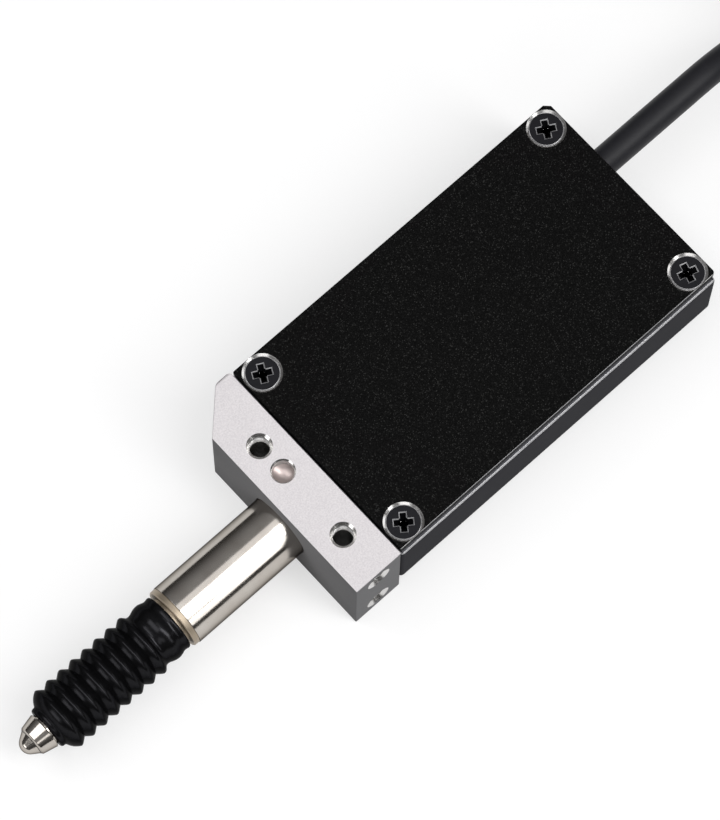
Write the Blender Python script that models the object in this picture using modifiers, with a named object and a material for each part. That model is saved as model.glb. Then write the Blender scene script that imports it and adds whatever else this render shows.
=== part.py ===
"""Linear gauge sensor: a sprung spindle slides in an 8 mm stem and moves a glass scale past a reading head.

The stem's axis runs along X at height STEM_Z. The contact tip is at -X and the cable at +X.
The cover faces +Z. The origin is on the mounting block's underside, halfway through its depth
and straight below the stem's axis.
"""

import math

import bmesh
import bpy

MM = 0.001

# Clearances: between pieces that seat on each other, and where one slides past another
SEAT = 0.2 * MM
RUNNING = 0.2 * MM

# Mounting block, which the stem passes through
BLOCK_DEPTH = 6.75 * MM
BLOCK_LEFT = 16.0 * MM
BLOCK_RIGHT = 13.0 * MM
BLOCK_HEIGHT = 13.3 * MM
BLOCK_CHAMFER = 4.7 * MM
THROUGH_HOLE_SPACING = 14.05 * MM
THROUGH_HOLE_RADIUS = 1.22 * MM
THROUGH_HOLE_CHAMFER = 0.32 * MM
BLIND_HOLE_Y = 3.05 * MM
BLIND_HOLE_RADIUS = 1.37 * MM
BLIND_HOLE_DEPTH = 1.5 * MM
END_HOLE_RISE = 4.05 * MM
END_HOLE_RADIUS = 1.22 * MM
END_HOLE_CHAMFER = 0.4 * MM
END_HOLE_DEPTH = 3.2 * MM
DRILL_POINT = 0.6

# Stem and the bushes pressed into it
STEM_Z = BLOCK_HEIGHT / 2
STEM_RADIUS = 4.0 * MM
STEM_WALL = 1.3 * MM
STEM_REACH = 15.65 * MM
STEM_EDGE = 0.15 * MM
STEM_NECK_RADIUS = 3.3 * MM
STEM_TAIL = 1.4 * MM
BUSH_RIM_RADIUS = 3.85 * MM
BUSH_RIM_LENGTH = 0.75 * MM
BUSH_SPIGOT_RADIUS = 3.0 * MM
BUSH_SPIGOT_LENGTH = 2.6 * MM
FRONT_BUSH_LENGTH = 5.5 * MM
REAR_BUSH_LENGTH = 5.0 * MM

# Spindle, its stop collar and the contact tip
STROKE = 10.0 * MM
SPINDLE_RADIUS = 1.5 * MM
COLLAR_RADIUS = 2.4 * MM
COLLAR_LENGTH = 1.0 * MM
BALL_RADIUS = 1.3 * MM
TIP_SHOULDER_RADIUS = 1.91 * MM
TIP_BASE_RADIUS = 2.3 * MM
TIP_CONE_LENGTH = 1.8 * MM
TIP_BALL_PROUD = 0.35 * MM
# Degrees of the ball outline in front of the shoulder
BALL_TURN = 58
TIP_SPIGOT_RADIUS = 1.9 * MM
TIP_SPIGOT_LENGTH = 2.4 * MM
TIP_STUD_RADIUS = 0.75 * MM
TIP_STUD_LENGTH = 3.0 * MM
TIP_EDGE = 0.25 * MM

# Rubber bellows between the stem and the tip
BELLOWS_FOLDS = 8
BELLOWS_PITCH = 1.78 * MM
BELLOWS_CREST_RADIUS = 3.95 * MM
BELLOWS_ROOT_RADIUS = 3.3 * MM
BELLOWS_WALL = 0.4 * MM
BELLOWS_LEAD = 1.85 * MM
BELLOWS_BEAD_RADIUS = 2.6 * MM
BELLOWS_CUFF_RADIUS = 3.6 * MM
BELLOWS_CUFF_BULGE = 0.22 * MM
BELLOWS_EDGE = 0.2 * MM
FOLD_POINTS = 6

# Return spring inside the stem
SPRING_WIRE = 0.3 * MM
SPRING_CLOSE_PITCH = 0.42 * MM
SPRING_RADIUS = 2.1 * MM
SPRING_TURNS = 8
SPRING_END_TURNS = 1
SPRING_POINTS_A_TURN = 10

# Case, gasket and cover
CASE_LEFT = 15.75 * MM
CASE_RIGHT = 12.9 * MM
CASE_BELOW_STEM = 4.7 * MM
CASE_LENGTH = 49.0 * MM
CASE_WALL = 1.2 * MM
CASE_FLOOR = 1.2 * MM
CASE_EDGE = 0.35 * MM
GASKET_THICK = 0.4 * MM
GASKET_INSET = 0.5 * MM
COVER_THICK = 1.0 * MM
COVER_DROP = 0.08 * MM
COVER_INSET = 0.3 * MM
COVER_END_INSET = 0.1 * MM
COVER_EDGE = 0.15 * MM

# Cover screws, from the case's edges to their centres
SCREW_INSET_SIDE = 2.45 * MM
SCREW_INSET_FRONT = 2.5 * MM
SCREW_INSET_BACK = 2.3 * MM
SCREW_HEAD_RADIUS = 1.88 * MM
SCREW_HEAD_HEIGHT = 0.85 * MM
SCREW_HEAD_SUNK = 0.12 * MM
SCREW_HEAD_RIM = 0.12 * MM
SCREW_SHANK_RADIUS = 0.8 * MM
SCREW_LENGTH = 4.4 * MM
COUNTERSINK_GAP = 0.14 * MM
RECESS_SPAN = 1.9 * MM
RECESS_WIDTH = 0.55 * MM
RECESS_DEPTH = 0.6 * MM
RECESS_TURNS = (20, -25, 35, -10)
BOSS_RADIUS = 1.9 * MM
BOSS_OVER_SCREW = 0.37 * MM

# Screws that hold the case to the block, from inside the case
BODY_SCREW_INSET = 3.1 * MM
BODY_SCREW_ABOVE_CASE = 3.05 * MM
BODY_SCREW_HEAD_RADIUS = 1.45 * MM
BODY_SCREW_HEAD_LENGTH = 1.5 * MM
BODY_SCREW_SHANK_RADIUS = 0.8 * MM
BODY_SCREW_GRIP = 3.0 * MM
HEX_SOCKET_RADIUS = 0.85 * MM
HEX_SOCKET_DEPTH = 0.8 * MM

# Scale carrier on the spindle's inner end, and the rod that keeps it from turning
CARRIER_START = 2.6 * MM
CARRIER_LENGTH = 10.0 * MM
CARRIER_WIDTH = 6.4 * MM
CARRIER_HEIGHT = 5.6 * MM
CARRIER_GRIP = 5.0 * MM
FORK_LENGTH = 4.0 * MM
FORK_HEIGHT = 3.0 * MM
FORK_LIP = 0.9 * MM
ROD_Y = -6.5 * MM
ROD_RADIUS = 0.8 * MM
ROD_SEAT_DEPTH = 0.7 * MM
SET_SCREW_RADIUS = 0.8 * MM
SET_SCREW_LENGTH = 1.5 * MM
SCALE_PAST_HEAD = 0.6 * MM
SCALE_HEIGHT = 4.0 * MM
SCALE_THICK = 1.0 * MM
SCALE_GRIP = 3.0 * MM

# Reading head over the scale, with its light source and photodetector
HEAD_CLEARANCE = 0.8 * MM
HEAD_LENGTH = 5.6 * MM
HEAD_WIDTH = 8.0 * MM
HEAD_HEIGHT = 6.2 * MM
HEAD_GAP = 2.0 * MM
HEAD_SILL = 1.0 * MM
FOOT_REACH = 3.2 * MM
FOOT_THICK = 1.2 * MM
EAR_HEIGHT = 2.9 * MM
EAR_THICK = 2.0 * MM
OPTIC_RADIUS = 1.0 * MM
OPTIC_LENGTH = 2.4 * MM
SMALL_SCREW_HEAD_RADIUS = 1.2 * MM
SMALL_SCREW_HEAD_LENGTH = 0.7 * MM
SMALL_SCREW_SHANK_RADIUS = 0.55 * MM
SCREW_DOME = 0.7
FLOOR_HOLE_DEPTH = 0.9 * MM
HEAD_SCREW_X = 2.1 * MM
HEAD_SCREW_OUT = 1.6 * MM

# Circuit board beside the scale
BOARD_FRONT_INSET = 15.2 * MM
BOARD_CLAMP_GAP = 1.2 * MM
BOARD_Y = 5.0 * MM
BOARD_WIDTH = 9.2 * MM
BOARD_THICK = 0.8 * MM
BOARD_RISE = 3.0 * MM
POST_RADIUS = 1.5 * MM
POST_INSET = 1.7 * MM
SIGNAL_CHIP = (5.0 * MM, 5.0 * MM, 1.0 * MM)
DRIVER_CHIP = (3.2 * MM, 4.0 * MM, 0.8 * MM)
WIRE_HEADER = (2.2 * MM, 6.0 * MM, 2.4 * MM)
WIRE_HEADER_INSET = 1.8 * MM
SIGNAL_CHIP_SHARE = 0.35
DRIVER_CHIP_SHARE = 0.62

# Cable, its clamp in the case's back wall, its hank and its plug
CABLE_RADIUS = 1.84 * MM
CABLE_Y = 7.15 * MM
CORD_GAP = 0.3 * MM
CLAMP_RADIUS = 3.2 * MM
CLAMP_LENGTH = 4.0 * MM
CLAMP_BELOW_COVER = 1.42 * MM
CABLE_RUN = 37.5 * MM
CABLE_STRAIGHT = 16.6 * MM
CABLE_DROP_LENGTH = 20.2 * MM
CABLE_REST = 0.6 * MM
HANK_STRAIGHT = 38.0 * MM
HANK_SLOT = 18.5 * MM
HANK_SECTION = 7.5 * MM
HANK_HEIGHT = 22.9 * MM
HANK_CORNER = 1.5 * MM
TAIL_LENGTH = 19.0 * MM
PLUG_LENGTH = 34.0 * MM
PLUG_RADIUS = 6.0 * MM
PLUG_MOUTH = 3.0 * MM
PLUG_EDGE = 0.4 * MM
BOOT_LENGTH = 11.0 * MM
BOOT_RADIUS = 3.3 * MM
BOOT_TIP_WALL = 0.5 * MM
SHELL_RADIUS = 4.4 * MM
SHELL_WALL = 1.0 * MM
SOCKET_DEPTH = 5.0 * MM
INSERT_THICK = 1.5 * MM
COUPLING_LENGTH = 11.0 * MM
PIN_RADIUS = 0.5 * MM
PIN_LENGTH = 3.0 * MM
PIN_ROOT = 0.5 * MM
PIN_CIRCLE_RADIUS = 2.4 * MM
PIN_COUNT = 6

ROUND = 32
BELLOWS_ROUND = 24
SMALL_ROUND = 14
SMALL_CUT = 20
BALL_POINTS = 8
CABLE_POINTS = 26
BEND_POINTS = 14
FOLD_STEPS = 12
MERGE = 0.000001

# Places worked out from the sizes above
BLOCK_FRONT = -BLOCK_DEPTH / 2
BLOCK_BACK = BLOCK_DEPTH / 2
CASE_FRONT = BLOCK_BACK + SEAT
CASE_BACK = CASE_FRONT + CASE_LENGTH
COVER_TOP = BLOCK_HEIGHT - COVER_DROP
COVER_BOTTOM = COVER_TOP - COVER_THICK
GASKET_TOP = COVER_BOTTOM - SEAT
CASE_RIM = GASKET_TOP - GASKET_THICK - SEAT
CASE_BOTTOM = STEM_Z - CASE_BELOW_STEM
FLOOR_TOP = CASE_BOTTOM + CASE_FLOOR
BODY_SCREW_TOP = CASE_BOTTOM + BODY_SCREW_ABOVE_CASE + BODY_SCREW_HEAD_RADIUS
STEM_FRONT = BLOCK_FRONT - STEM_REACH
STEM_BORE = STEM_RADIUS - STEM_WALL
SCREW_SEAT_X = CASE_FRONT + CASE_WALL + SEAT
STEM_BACK = SCREW_SEAT_X + STEM_TAIL
CARRIER_X = STEM_BACK + CARRIER_START
HEAD_X = CARRIER_X + CARRIER_LENGTH + STROKE + HEAD_CLEARANCE
RIM_BACK = STEM_FRONT - SEAT
RIM_FRONT = RIM_BACK - BUSH_RIM_LENGTH
BUSH_FRONT = RIM_FRONT - BUSH_SPIGOT_LENGTH
FRONT_BUSH_BACK = STEM_FRONT + FRONT_BUSH_LENGTH
REAR_BUSH_BACK = STEM_BACK
REAR_BUSH_FRONT = REAR_BUSH_BACK - REAR_BUSH_LENGTH
BUSH_BORE = SPINDLE_RADIUS + RUNNING
COLLAR_FRONT = FRONT_BUSH_BACK + SEAT
SPRING_FRONT = COLLAR_FRONT + COLLAR_LENGTH + SEAT
SPRING_BACK = REAR_BUSH_FRONT - SEAT
BELLOWS_BACK = RIM_FRONT - SEAT
LAST_CREST = BUSH_FRONT - BELLOWS_PITCH
FIRST_CREST = LAST_CREST - (BELLOWS_FOLDS - 1) * BELLOWS_PITCH
BELLOWS_FRONT = FIRST_CREST - BELLOWS_LEAD
TIP_BASE = BELLOWS_FRONT - SEAT
TIP_SHOULDER = TIP_BASE - TIP_CONE_LENGTH
BALL_X = TIP_SHOULDER - TIP_BALL_PROUD
TIP_SPIGOT_BACK = TIP_BASE + TIP_SPIGOT_LENGTH
SPINDLE_FRONT = TIP_SPIGOT_BACK + SEAT
SPINDLE_BACK = CARRIER_X + CARRIER_GRIP
SCALE_X = CARRIER_X + CARRIER_LENGTH - SCALE_GRIP
SCALE_LENGTH = HEAD_X + HEAD_LENGTH + SCALE_PAST_HEAD - SCALE_X
CLAMP_BACK = CASE_BACK - CASE_WALL - SEAT
CABLE_Z = COVER_BOTTOM - CLAMP_BELOW_COVER - CLAMP_RADIUS
BOARD_X = CASE_FRONT + CASE_WALL + BOARD_FRONT_INSET
BOARD_LENGTH = CLAMP_BACK - CLAMP_LENGTH - BOARD_CLAMP_GAP - BOARD_X
BOARD_BOTTOM = FLOOR_TOP + BOARD_RISE
BOARD_TOP = BOARD_BOTTOM + BOARD_THICK
CABLE_REST_Z = CABLE_RADIUS + CABLE_REST
HANK_OUTER = HANK_SLOT / 2 + HANK_SECTION
HANK_MEAN = HANK_SLOT / 2 + HANK_SECTION / 2
HANK_ENTRY = HANK_OUTER - CABLE_RADIUS - SEAT / 2
HANK_REACH = math.sqrt(HANK_OUTER**2 - (HANK_ENTRY - CABLE_RADIUS) ** 2)
HANK_LEFT = CASE_BACK + CABLE_RUN + CORD_GAP + HANK_REACH
HANK_Y = CABLE_Y - HANK_ENTRY
PLUG_X = HANK_LEFT + CORD_GAP
PLUG_Y = HANK_Y + HANK_MEAN
PLUG_Z = HANK_HEIGHT + CORD_GAP + PLUG_RADIUS

for old in list(bpy.data.objects):
    bpy.data.objects.remove(old, do_unlink=True)

gauge = bpy.data.collections.new("linear_gauge_sensor")
cutters = bpy.data.collections.new("cutters")
bpy.context.scene.collection.children.link(gauge)
bpy.context.scene.collection.children.link(cutters)


def finish_of(name, colour, roughness, metallic):
    """A plain material in the piece's colour."""
    material = bpy.data.materials.new(name)
    material.use_nodes = True
    shader = material.node_tree.nodes["Principled BSDF"]
    shader.inputs["Base Color"].default_value = (*colour, 1.0)
    shader.inputs["Roughness"].default_value = roughness
    shader.inputs["Metallic"].default_value = metallic
    return material


aluminium = finish_of("blasted_aluminium", (0.66, 0.65, 0.68), 0.5, 0.9)
steel = finish_of("polished_steel", (0.62, 0.58, 0.54), 0.14, 1.0)
champagne = finish_of("champagne_bronze", (0.62, 0.52, 0.36), 0.25, 1.0)
bronze = finish_of("bearing_bronze", (0.55, 0.36, 0.18), 0.35, 1.0)
rubber = finish_of("black_rubber", (0.012, 0.012, 0.013), 0.38, 0.0)
black_case = finish_of("dark_anodised_case", (0.035, 0.036, 0.038), 0.42, 0.4)
black_cover = finish_of("black_cover_paint", (0.010, 0.010, 0.010), 0.5, 0.0)
black_steel = finish_of("black_oxide_steel", (0.03, 0.031, 0.034), 0.35, 0.7)
spring_steel = finish_of("spring_steel", (0.5, 0.5, 0.5), 0.25, 1.0)
glass = finish_of("scale_glass", (0.55, 0.62, 0.6), 0.08, 0.0)
board_green = finish_of("circuit_board", (0.02, 0.12, 0.05), 0.45, 0.0)
chip_black = finish_of("chip_plastic", (0.02, 0.02, 0.02), 0.5, 0.0)
header_white = finish_of("header_plastic", (0.75, 0.72, 0.62), 0.45, 0.0)
cable_grey = finish_of("cable_jacket", (0.045, 0.045, 0.05), 0.55, 0.0)
plug_metal = finish_of("nickel_plate", (0.6, 0.6, 0.58), 0.25, 1.0)
clear_epoxy = finish_of("lamp_epoxy", (0.7, 0.68, 0.6), 0.15, 0.0)


def show(mesh, name, material):
    """Makes the mesh a named piece of the sensor."""
    piece = bpy.data.objects.new(name, mesh)
    piece.data.materials.append(material)
    gauge.objects.link(piece)
    return piece


def hide_as_cutter(piece):
    """Moves a piece to the cutters, which aren't part of the sensor."""
    gauge.objects.unlink(piece)
    cutters.objects.link(piece)
    piece.hide_render = True
    piece.display_type = "WIRE"
    return piece


def mesh_of(name, shape):
    mesh = bpy.data.meshes.new(name)
    shape.to_mesh(mesh)
    shape.free()
    return mesh


def box(name, low, high, material):
    """A block between two corners, placed by its middle."""
    shape = bmesh.new()
    bmesh.ops.create_cube(shape, size=1.0)
    bmesh.ops.scale(shape, vec=[b - a for a, b in zip(low, high)], verts=shape.verts)
    piece = show(mesh_of(name, shape), name, material)
    piece.location = [(a + b) / 2 for a, b in zip(low, high)]
    return piece


def turned(name, outline, material, origin, axis="X", steps=ROUND, ring=False):
    """A turned piece. The outline lists (along, radius) from the low end of the axis to the high end.

    A ring's outline goes along its outside and comes back along its bore.
    """
    points = [(radius, 0.0, along) for along, radius in reversed(outline)]
    edges = [(i, i + 1) for i in range(len(points) - 1)]
    if ring:
        edges.append((len(points) - 1, 0))
    mesh = bpy.data.meshes.new(name)
    mesh.from_pydata(points, edges, [])
    piece = show(mesh, name, material)
    screw = piece.modifiers.new("Turn", "SCREW")
    screw.steps = steps
    screw.render_steps = steps
    screw.use_merge_vertices = True
    screw.merge_threshold = MERGE
    quarter = math.pi / 2
    piece.rotation_euler = {"X": (0, quarter, 0), "Y": (-quarter, 0, 0), "Z": (0, 0, 0)}[axis]
    piece.location = origin
    return piece


def tube(name, route, radius, material, sides=2):
    """A round bar that follows a route of points."""
    curve = bpy.data.curves.new(name, "CURVE")
    curve.dimensions = "3D"
    curve.bevel_depth = radius
    curve.bevel_resolution = sides
    curve.use_fill_caps = True
    line = curve.splines.new("POLY")
    line.points.add(len(route) - 1)
    for point, place in zip(line.points, route):
        point.co = (*place, 1.0)
    line.use_smooth = True
    return show(curve, name, material)


def combine(piece, tool, operation):
    change = piece.modifiers.new(tool.name, "BOOLEAN")
    change.operation = operation
    change.object = tool
    change.solver = "EXACT"


def cut(piece, tool):
    """Takes the tool's shape out of the piece."""
    combine(piece, hide_as_cutter(tool), "DIFFERENCE")


def join(piece, tool):
    """Adds the tool's shape to the piece, as one body."""
    combine(piece, hide_as_cutter(tool), "UNION")


def soften(piece, width, segments=1):
    """Bevels the piece's sharp edges."""
    bevel = piece.modifiers.new("Edges", "BEVEL")
    bevel.width = width
    bevel.segments = segments
    bevel.limit_method = "ANGLE"
    return piece


def arc(centre, radius, start, end, count):
    """Points (along, radius) on an arc, by angles in degrees from the axis direction."""
    turns = [math.radians(start + (end - start) * i / count) for i in range(count + 1)]
    return [(centre[0] + radius * math.cos(a), centre[1] + radius * math.sin(a)) for a in turns]


def rod_outline(low, high, radius):
    """The outline of a plain round bar."""
    return [(low, 0.0), (low, radius), (high, radius), (high, 0.0)]


def drill(name, origin, axis, depth, radius, chamfer=0.0, both_ends=False, point=False):
    """A drill's shape to cut with. It enters at the high end of the axis, with a chamfer at its mouth."""
    over = 1.0 * MM
    low = [(-depth - over, 0.0), (-depth - over, radius)]
    if both_ends:
        low = [
            (-depth - over, 0.0),
            (-depth - over, radius + chamfer + over),
            (-depth + chamfer, radius),
        ]
    if point:
        low = [(-depth - DRILL_POINT * radius, 0.0), (-depth, radius)]
    high = [(over, radius), (over, 0.0)]
    if chamfer:
        high = [(-chamfer, radius), (over, radius + chamfer + over), (over, 0.0)]
    return turned(name, low + high, aluminium, origin, axis, SMALL_CUT)


# Mounting block

block = box(
    "mounting_block",
    (BLOCK_FRONT, -BLOCK_RIGHT, 0.0),
    (BLOCK_BACK, BLOCK_LEFT, BLOCK_HEIGHT),
    aluminium,
)
shape = bmesh.new()
shape.from_mesh(block.data)
corner = [e for e in shape.edges if all(v.co.x < 0 < v.co.y for v in e.verts)]
bmesh.ops.bevel(shape, geom=corner, offset=BLOCK_CHAMFER, segments=1, affect="EDGES")
shape.to_mesh(block.data)
shape.free()

stem_hole = rod_outline(BLOCK_FRONT - MM, BLOCK_BACK + MM, STEM_RADIUS + SEAT)
cut(block, turned("cut_stem_hole", stem_hole, aluminium, (0.0, 0.0, STEM_Z)))
for side, y in (("left", THROUGH_HOLE_SPACING / 2), ("right", -THROUGH_HOLE_SPACING / 2)):
    hole = drill(
        "cut_through_" + side,
        (0.0, y, BLOCK_HEIGHT),
        "Z",
        BLOCK_HEIGHT,
        THROUGH_HOLE_RADIUS,
        THROUGH_HOLE_CHAMFER,
        both_ends=True,
    )
    cut(block, hole)
cut(
    block,
    drill(
        "cut_blind",
        (0.0, BLIND_HOLE_Y, BLOCK_HEIGHT),
        "Z",
        BLIND_HOLE_DEPTH,
        BLIND_HOLE_RADIUS,
        point=True,
    ),
)
for level, z in (("upper", STEM_Z + END_HOLE_RISE), ("lower", STEM_Z - END_HOLE_RISE)):
    hole = drill(
        "cut_end_" + level,
        (0.0, -BLOCK_RIGHT, z),
        "Y",
        END_HOLE_DEPTH,
        END_HOLE_RADIUS,
        END_HOLE_CHAMFER,
        point=True,
    )
    hole.rotation_euler.x = math.pi / 2
    cut(block, hole)

# Stem and its two bushes

turned(
    "stem",
    [
        (STEM_FRONT, STEM_RADIUS - STEM_EDGE),
        (STEM_FRONT + STEM_EDGE, STEM_RADIUS),
        (BLOCK_BACK, STEM_RADIUS),
        (BLOCK_BACK, STEM_NECK_RADIUS),
        (STEM_BACK, STEM_NECK_RADIUS),
        (STEM_BACK, STEM_BORE),
        (STEM_FRONT, STEM_BORE),
    ],
    steel,
    (0.0, 0.0, STEM_Z),
    ring=True,
)
turned(
    "front_bush",
    [
        (BUSH_FRONT, BUSH_SPIGOT_RADIUS),
        (RIM_FRONT, BUSH_SPIGOT_RADIUS),
        (RIM_FRONT, BUSH_RIM_RADIUS - STEM_EDGE),
        (RIM_BACK - STEM_EDGE, BUSH_RIM_RADIUS),
        (RIM_BACK, BUSH_RIM_RADIUS),
        (RIM_BACK, STEM_BORE - SEAT),
        (FRONT_BUSH_BACK, STEM_BORE - SEAT),
        (FRONT_BUSH_BACK, BUSH_BORE),
        (BUSH_FRONT, BUSH_BORE),
    ],
    champagne,
    (0.0, 0.0, STEM_Z),
    ring=True,
)
turned(
    "rear_bush",
    [
        (REAR_BUSH_FRONT, STEM_BORE - SEAT),
        (REAR_BUSH_BACK, STEM_BORE - SEAT),
        (REAR_BUSH_BACK, BUSH_BORE),
        (REAR_BUSH_FRONT, BUSH_BORE),
    ],
    bronze,
    (0.0, 0.0, STEM_Z),
    ring=True,
)

# Spindle with its collar and the contact tip, with their origins on the slide's axis

stud_bore = TIP_STUD_RADIUS + SEAT
turned(
    "spindle",
    [
        (SPINDLE_FRONT + TIP_STUD_LENGTH, 0.0),
        (SPINDLE_FRONT + TIP_STUD_LENGTH, stud_bore),
        (SPINDLE_FRONT, stud_bore),
        (SPINDLE_FRONT, SPINDLE_RADIUS),
        (SPINDLE_BACK, SPINDLE_RADIUS),
        (SPINDLE_BACK, 0.0),
    ],
    steel,
    (0.0, 0.0, STEM_Z),
)
turned(
    "stop_collar",
    [
        (COLLAR_FRONT, COLLAR_RADIUS),
        (COLLAR_FRONT + COLLAR_LENGTH, COLLAR_RADIUS),
        (COLLAR_FRONT + COLLAR_LENGTH, SPINDLE_RADIUS + SEAT),
        (COLLAR_FRONT, SPINDLE_RADIUS + SEAT),
    ],
    steel,
    (0.0, 0.0, STEM_Z),
    ring=True,
)
turned(
    "contact_tip",
    arc((BALL_X, 0.0), BALL_RADIUS, 180, 180 - BALL_TURN, BALL_POINTS)
    + [
        (TIP_SHOULDER - TIP_EDGE / 2, TIP_SHOULDER_RADIUS - TIP_EDGE / 3),
        (TIP_SHOULDER, TIP_SHOULDER_RADIUS),
        (TIP_BASE, TIP_BASE_RADIUS),
        (TIP_BASE, TIP_SPIGOT_RADIUS),
        (TIP_SPIGOT_BACK, TIP_SPIGOT_RADIUS),
        (TIP_SPIGOT_BACK, TIP_STUD_RADIUS),
        (TIP_SPIGOT_BACK + TIP_STUD_LENGTH, TIP_STUD_RADIUS),
        (TIP_SPIGOT_BACK + TIP_STUD_LENGTH, 0.0),
    ],
    steel,
    (0.0, 0.0, STEM_Z),
    steps=BELLOWS_ROUND,
)

# Bellows: the folds are a rounded wave, and the bore follows the outside one wall deeper


def fold_radius(phase):
    """The outside radius at a phase of a fold, 0 and 1 at crests. Crests are rounder than roots."""
    wave = 0.5 + 0.5 * math.cos(2 * math.pi * phase)
    return BELLOWS_ROOT_RADIUS + (BELLOWS_CREST_RADIUS - BELLOWS_ROOT_RADIUS) * wave**0.8


folds = []
for step in range((BELLOWS_FOLDS - 1) * FOLD_POINTS + 1):
    folds.append((FIRST_CREST + BELLOWS_PITCH * step / FOLD_POINTS, fold_radius(step / FOLD_POINTS)))
lead = [
    (BELLOWS_FRONT, BELLOWS_BEAD_RADIUS - BELLOWS_EDGE),
    (BELLOWS_FRONT + 0.08 * BELLOWS_LEAD, BELLOWS_BEAD_RADIUS),
    (BELLOWS_FRONT + 0.3 * BELLOWS_LEAD, BELLOWS_BEAD_RADIUS + BELLOWS_EDGE / 2),
    (FIRST_CREST - 0.42 * BELLOWS_PITCH, BELLOWS_ROOT_RADIUS),
    (FIRST_CREST - 0.17 * BELLOWS_PITCH, BELLOWS_CREST_RADIUS - BELLOWS_EDGE),
]
cuff_length = BELLOWS_BACK - LAST_CREST
cuff_groove = BELLOWS_CUFF_RADIUS - BELLOWS_EDGE / 4
cuff_bulge = BELLOWS_CUFF_RADIUS + BELLOWS_CUFF_BULGE
cuff = [
    (LAST_CREST + 0.08 * cuff_length, BELLOWS_CREST_RADIUS - BELLOWS_EDGE),
    (LAST_CREST + 0.2 * cuff_length, BELLOWS_CUFF_RADIUS - BELLOWS_EDGE / 2),
    (LAST_CREST + 0.31 * cuff_length, cuff_groove),
    (LAST_CREST + 0.45 * cuff_length, cuff_bulge - BELLOWS_EDGE / 4),
    (LAST_CREST + 0.6 * cuff_length, cuff_bulge),
    (LAST_CREST + 0.75 * cuff_length, BELLOWS_CUFF_RADIUS),
    (BELLOWS_BACK, cuff_groove),
]
cuff_bore = BUSH_SPIGOT_RADIUS + SEAT
bead_bore = TIP_SPIGOT_RADIUS + SEAT
bore = [
    (BELLOWS_BACK, cuff_bore),
    (BUSH_FRONT - SEAT, cuff_bore),
    (BUSH_FRONT - SEAT, BELLOWS_ROOT_RADIUS - BELLOWS_WALL),
]
for along, radius in reversed(folds[:: FOLD_POINTS // 2][:-1]):
    bore.append((along, radius - BELLOWS_WALL))
bore += [
    (FIRST_CREST - 0.28 * BELLOWS_PITCH, BELLOWS_ROOT_RADIUS - BELLOWS_WALL - BELLOWS_EDGE),
    (BELLOWS_FRONT + 0.38 * BELLOWS_LEAD, bead_bore),
    (BELLOWS_FRONT, bead_bore),
]
turned(
    "bellows",
    lead + folds + cuff + bore,
    rubber,
    (0.0, 0.0, STEM_Z),
    steps=BELLOWS_ROUND,
    ring=True,
)

# Return spring, a helix with its last turn at each end wound close

turns = SPRING_TURNS + 2 * SPRING_END_TURNS
spring_room = SPRING_BACK - SPRING_FRONT - SPRING_WIRE
open_pitch = (spring_room - 2 * SPRING_END_TURNS * SPRING_CLOSE_PITCH) / SPRING_TURNS
spring_route = []
for step in range(turns * SPRING_POINTS_A_TURN + 1):
    turn = step / SPRING_POINTS_A_TURN
    first = min(turn, SPRING_END_TURNS) * SPRING_CLOSE_PITCH
    middle = min(max(turn - SPRING_END_TURNS, 0.0), SPRING_TURNS) * open_pitch
    last = max(turn - SPRING_END_TURNS - SPRING_TURNS, 0.0) * SPRING_CLOSE_PITCH
    angle = 2 * math.pi * turn
    spring_route.append(
        (
            SPRING_FRONT + SPRING_WIRE / 2 + first + middle + last,
            SPRING_RADIUS * math.cos(angle),
            STEM_Z + SPRING_RADIUS * math.sin(angle),
        )
    )
tube("return_spring", spring_route, SPRING_WIRE / 2, spring_steel, sides=1)

# Case: an open tray with a boss under each cover screw and posts for the board

case = box(
    "case",
    (CASE_FRONT, -CASE_RIGHT, CASE_BOTTOM),
    (CASE_BACK, CASE_LEFT, CASE_RIM),
    black_case,
)
soften(case, CASE_EDGE)
hollow = box(
    "cut_case_hollow",
    (CASE_FRONT + CASE_WALL, -CASE_RIGHT + CASE_WALL, FLOOR_TOP),
    (CASE_BACK - CASE_WALL, CASE_LEFT - CASE_WALL, CASE_RIM + MM),
    black_case,
)
cover_screws = [
    (CASE_FRONT + SCREW_INSET_FRONT, CASE_LEFT - SCREW_INSET_SIDE),
    (CASE_FRONT + SCREW_INSET_FRONT, -CASE_RIGHT + SCREW_INSET_SIDE),
    (CASE_BACK - SCREW_INSET_BACK, -CASE_RIGHT + SCREW_INSET_SIDE),
    (CASE_BACK - SCREW_INSET_BACK, CASE_LEFT - SCREW_INSET_SIDE),
]
screw_seat = COVER_TOP - SCREW_HEAD_SUNK
screw_end = screw_seat - SCREW_LENGTH
screw_hole = SCREW_SHANK_RADIUS + SEAT


for number, (x, y) in enumerate(cover_screws, 1):
    boss = rod_outline(BODY_SCREW_TOP + BOSS_OVER_SCREW, CASE_RIM + 2 * MM, BOSS_RADIUS)
    cut(hollow, turned(f"keep_boss_{number}", boss, black_case, (x, y, 0.0), "Z", SMALL_CUT))

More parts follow.
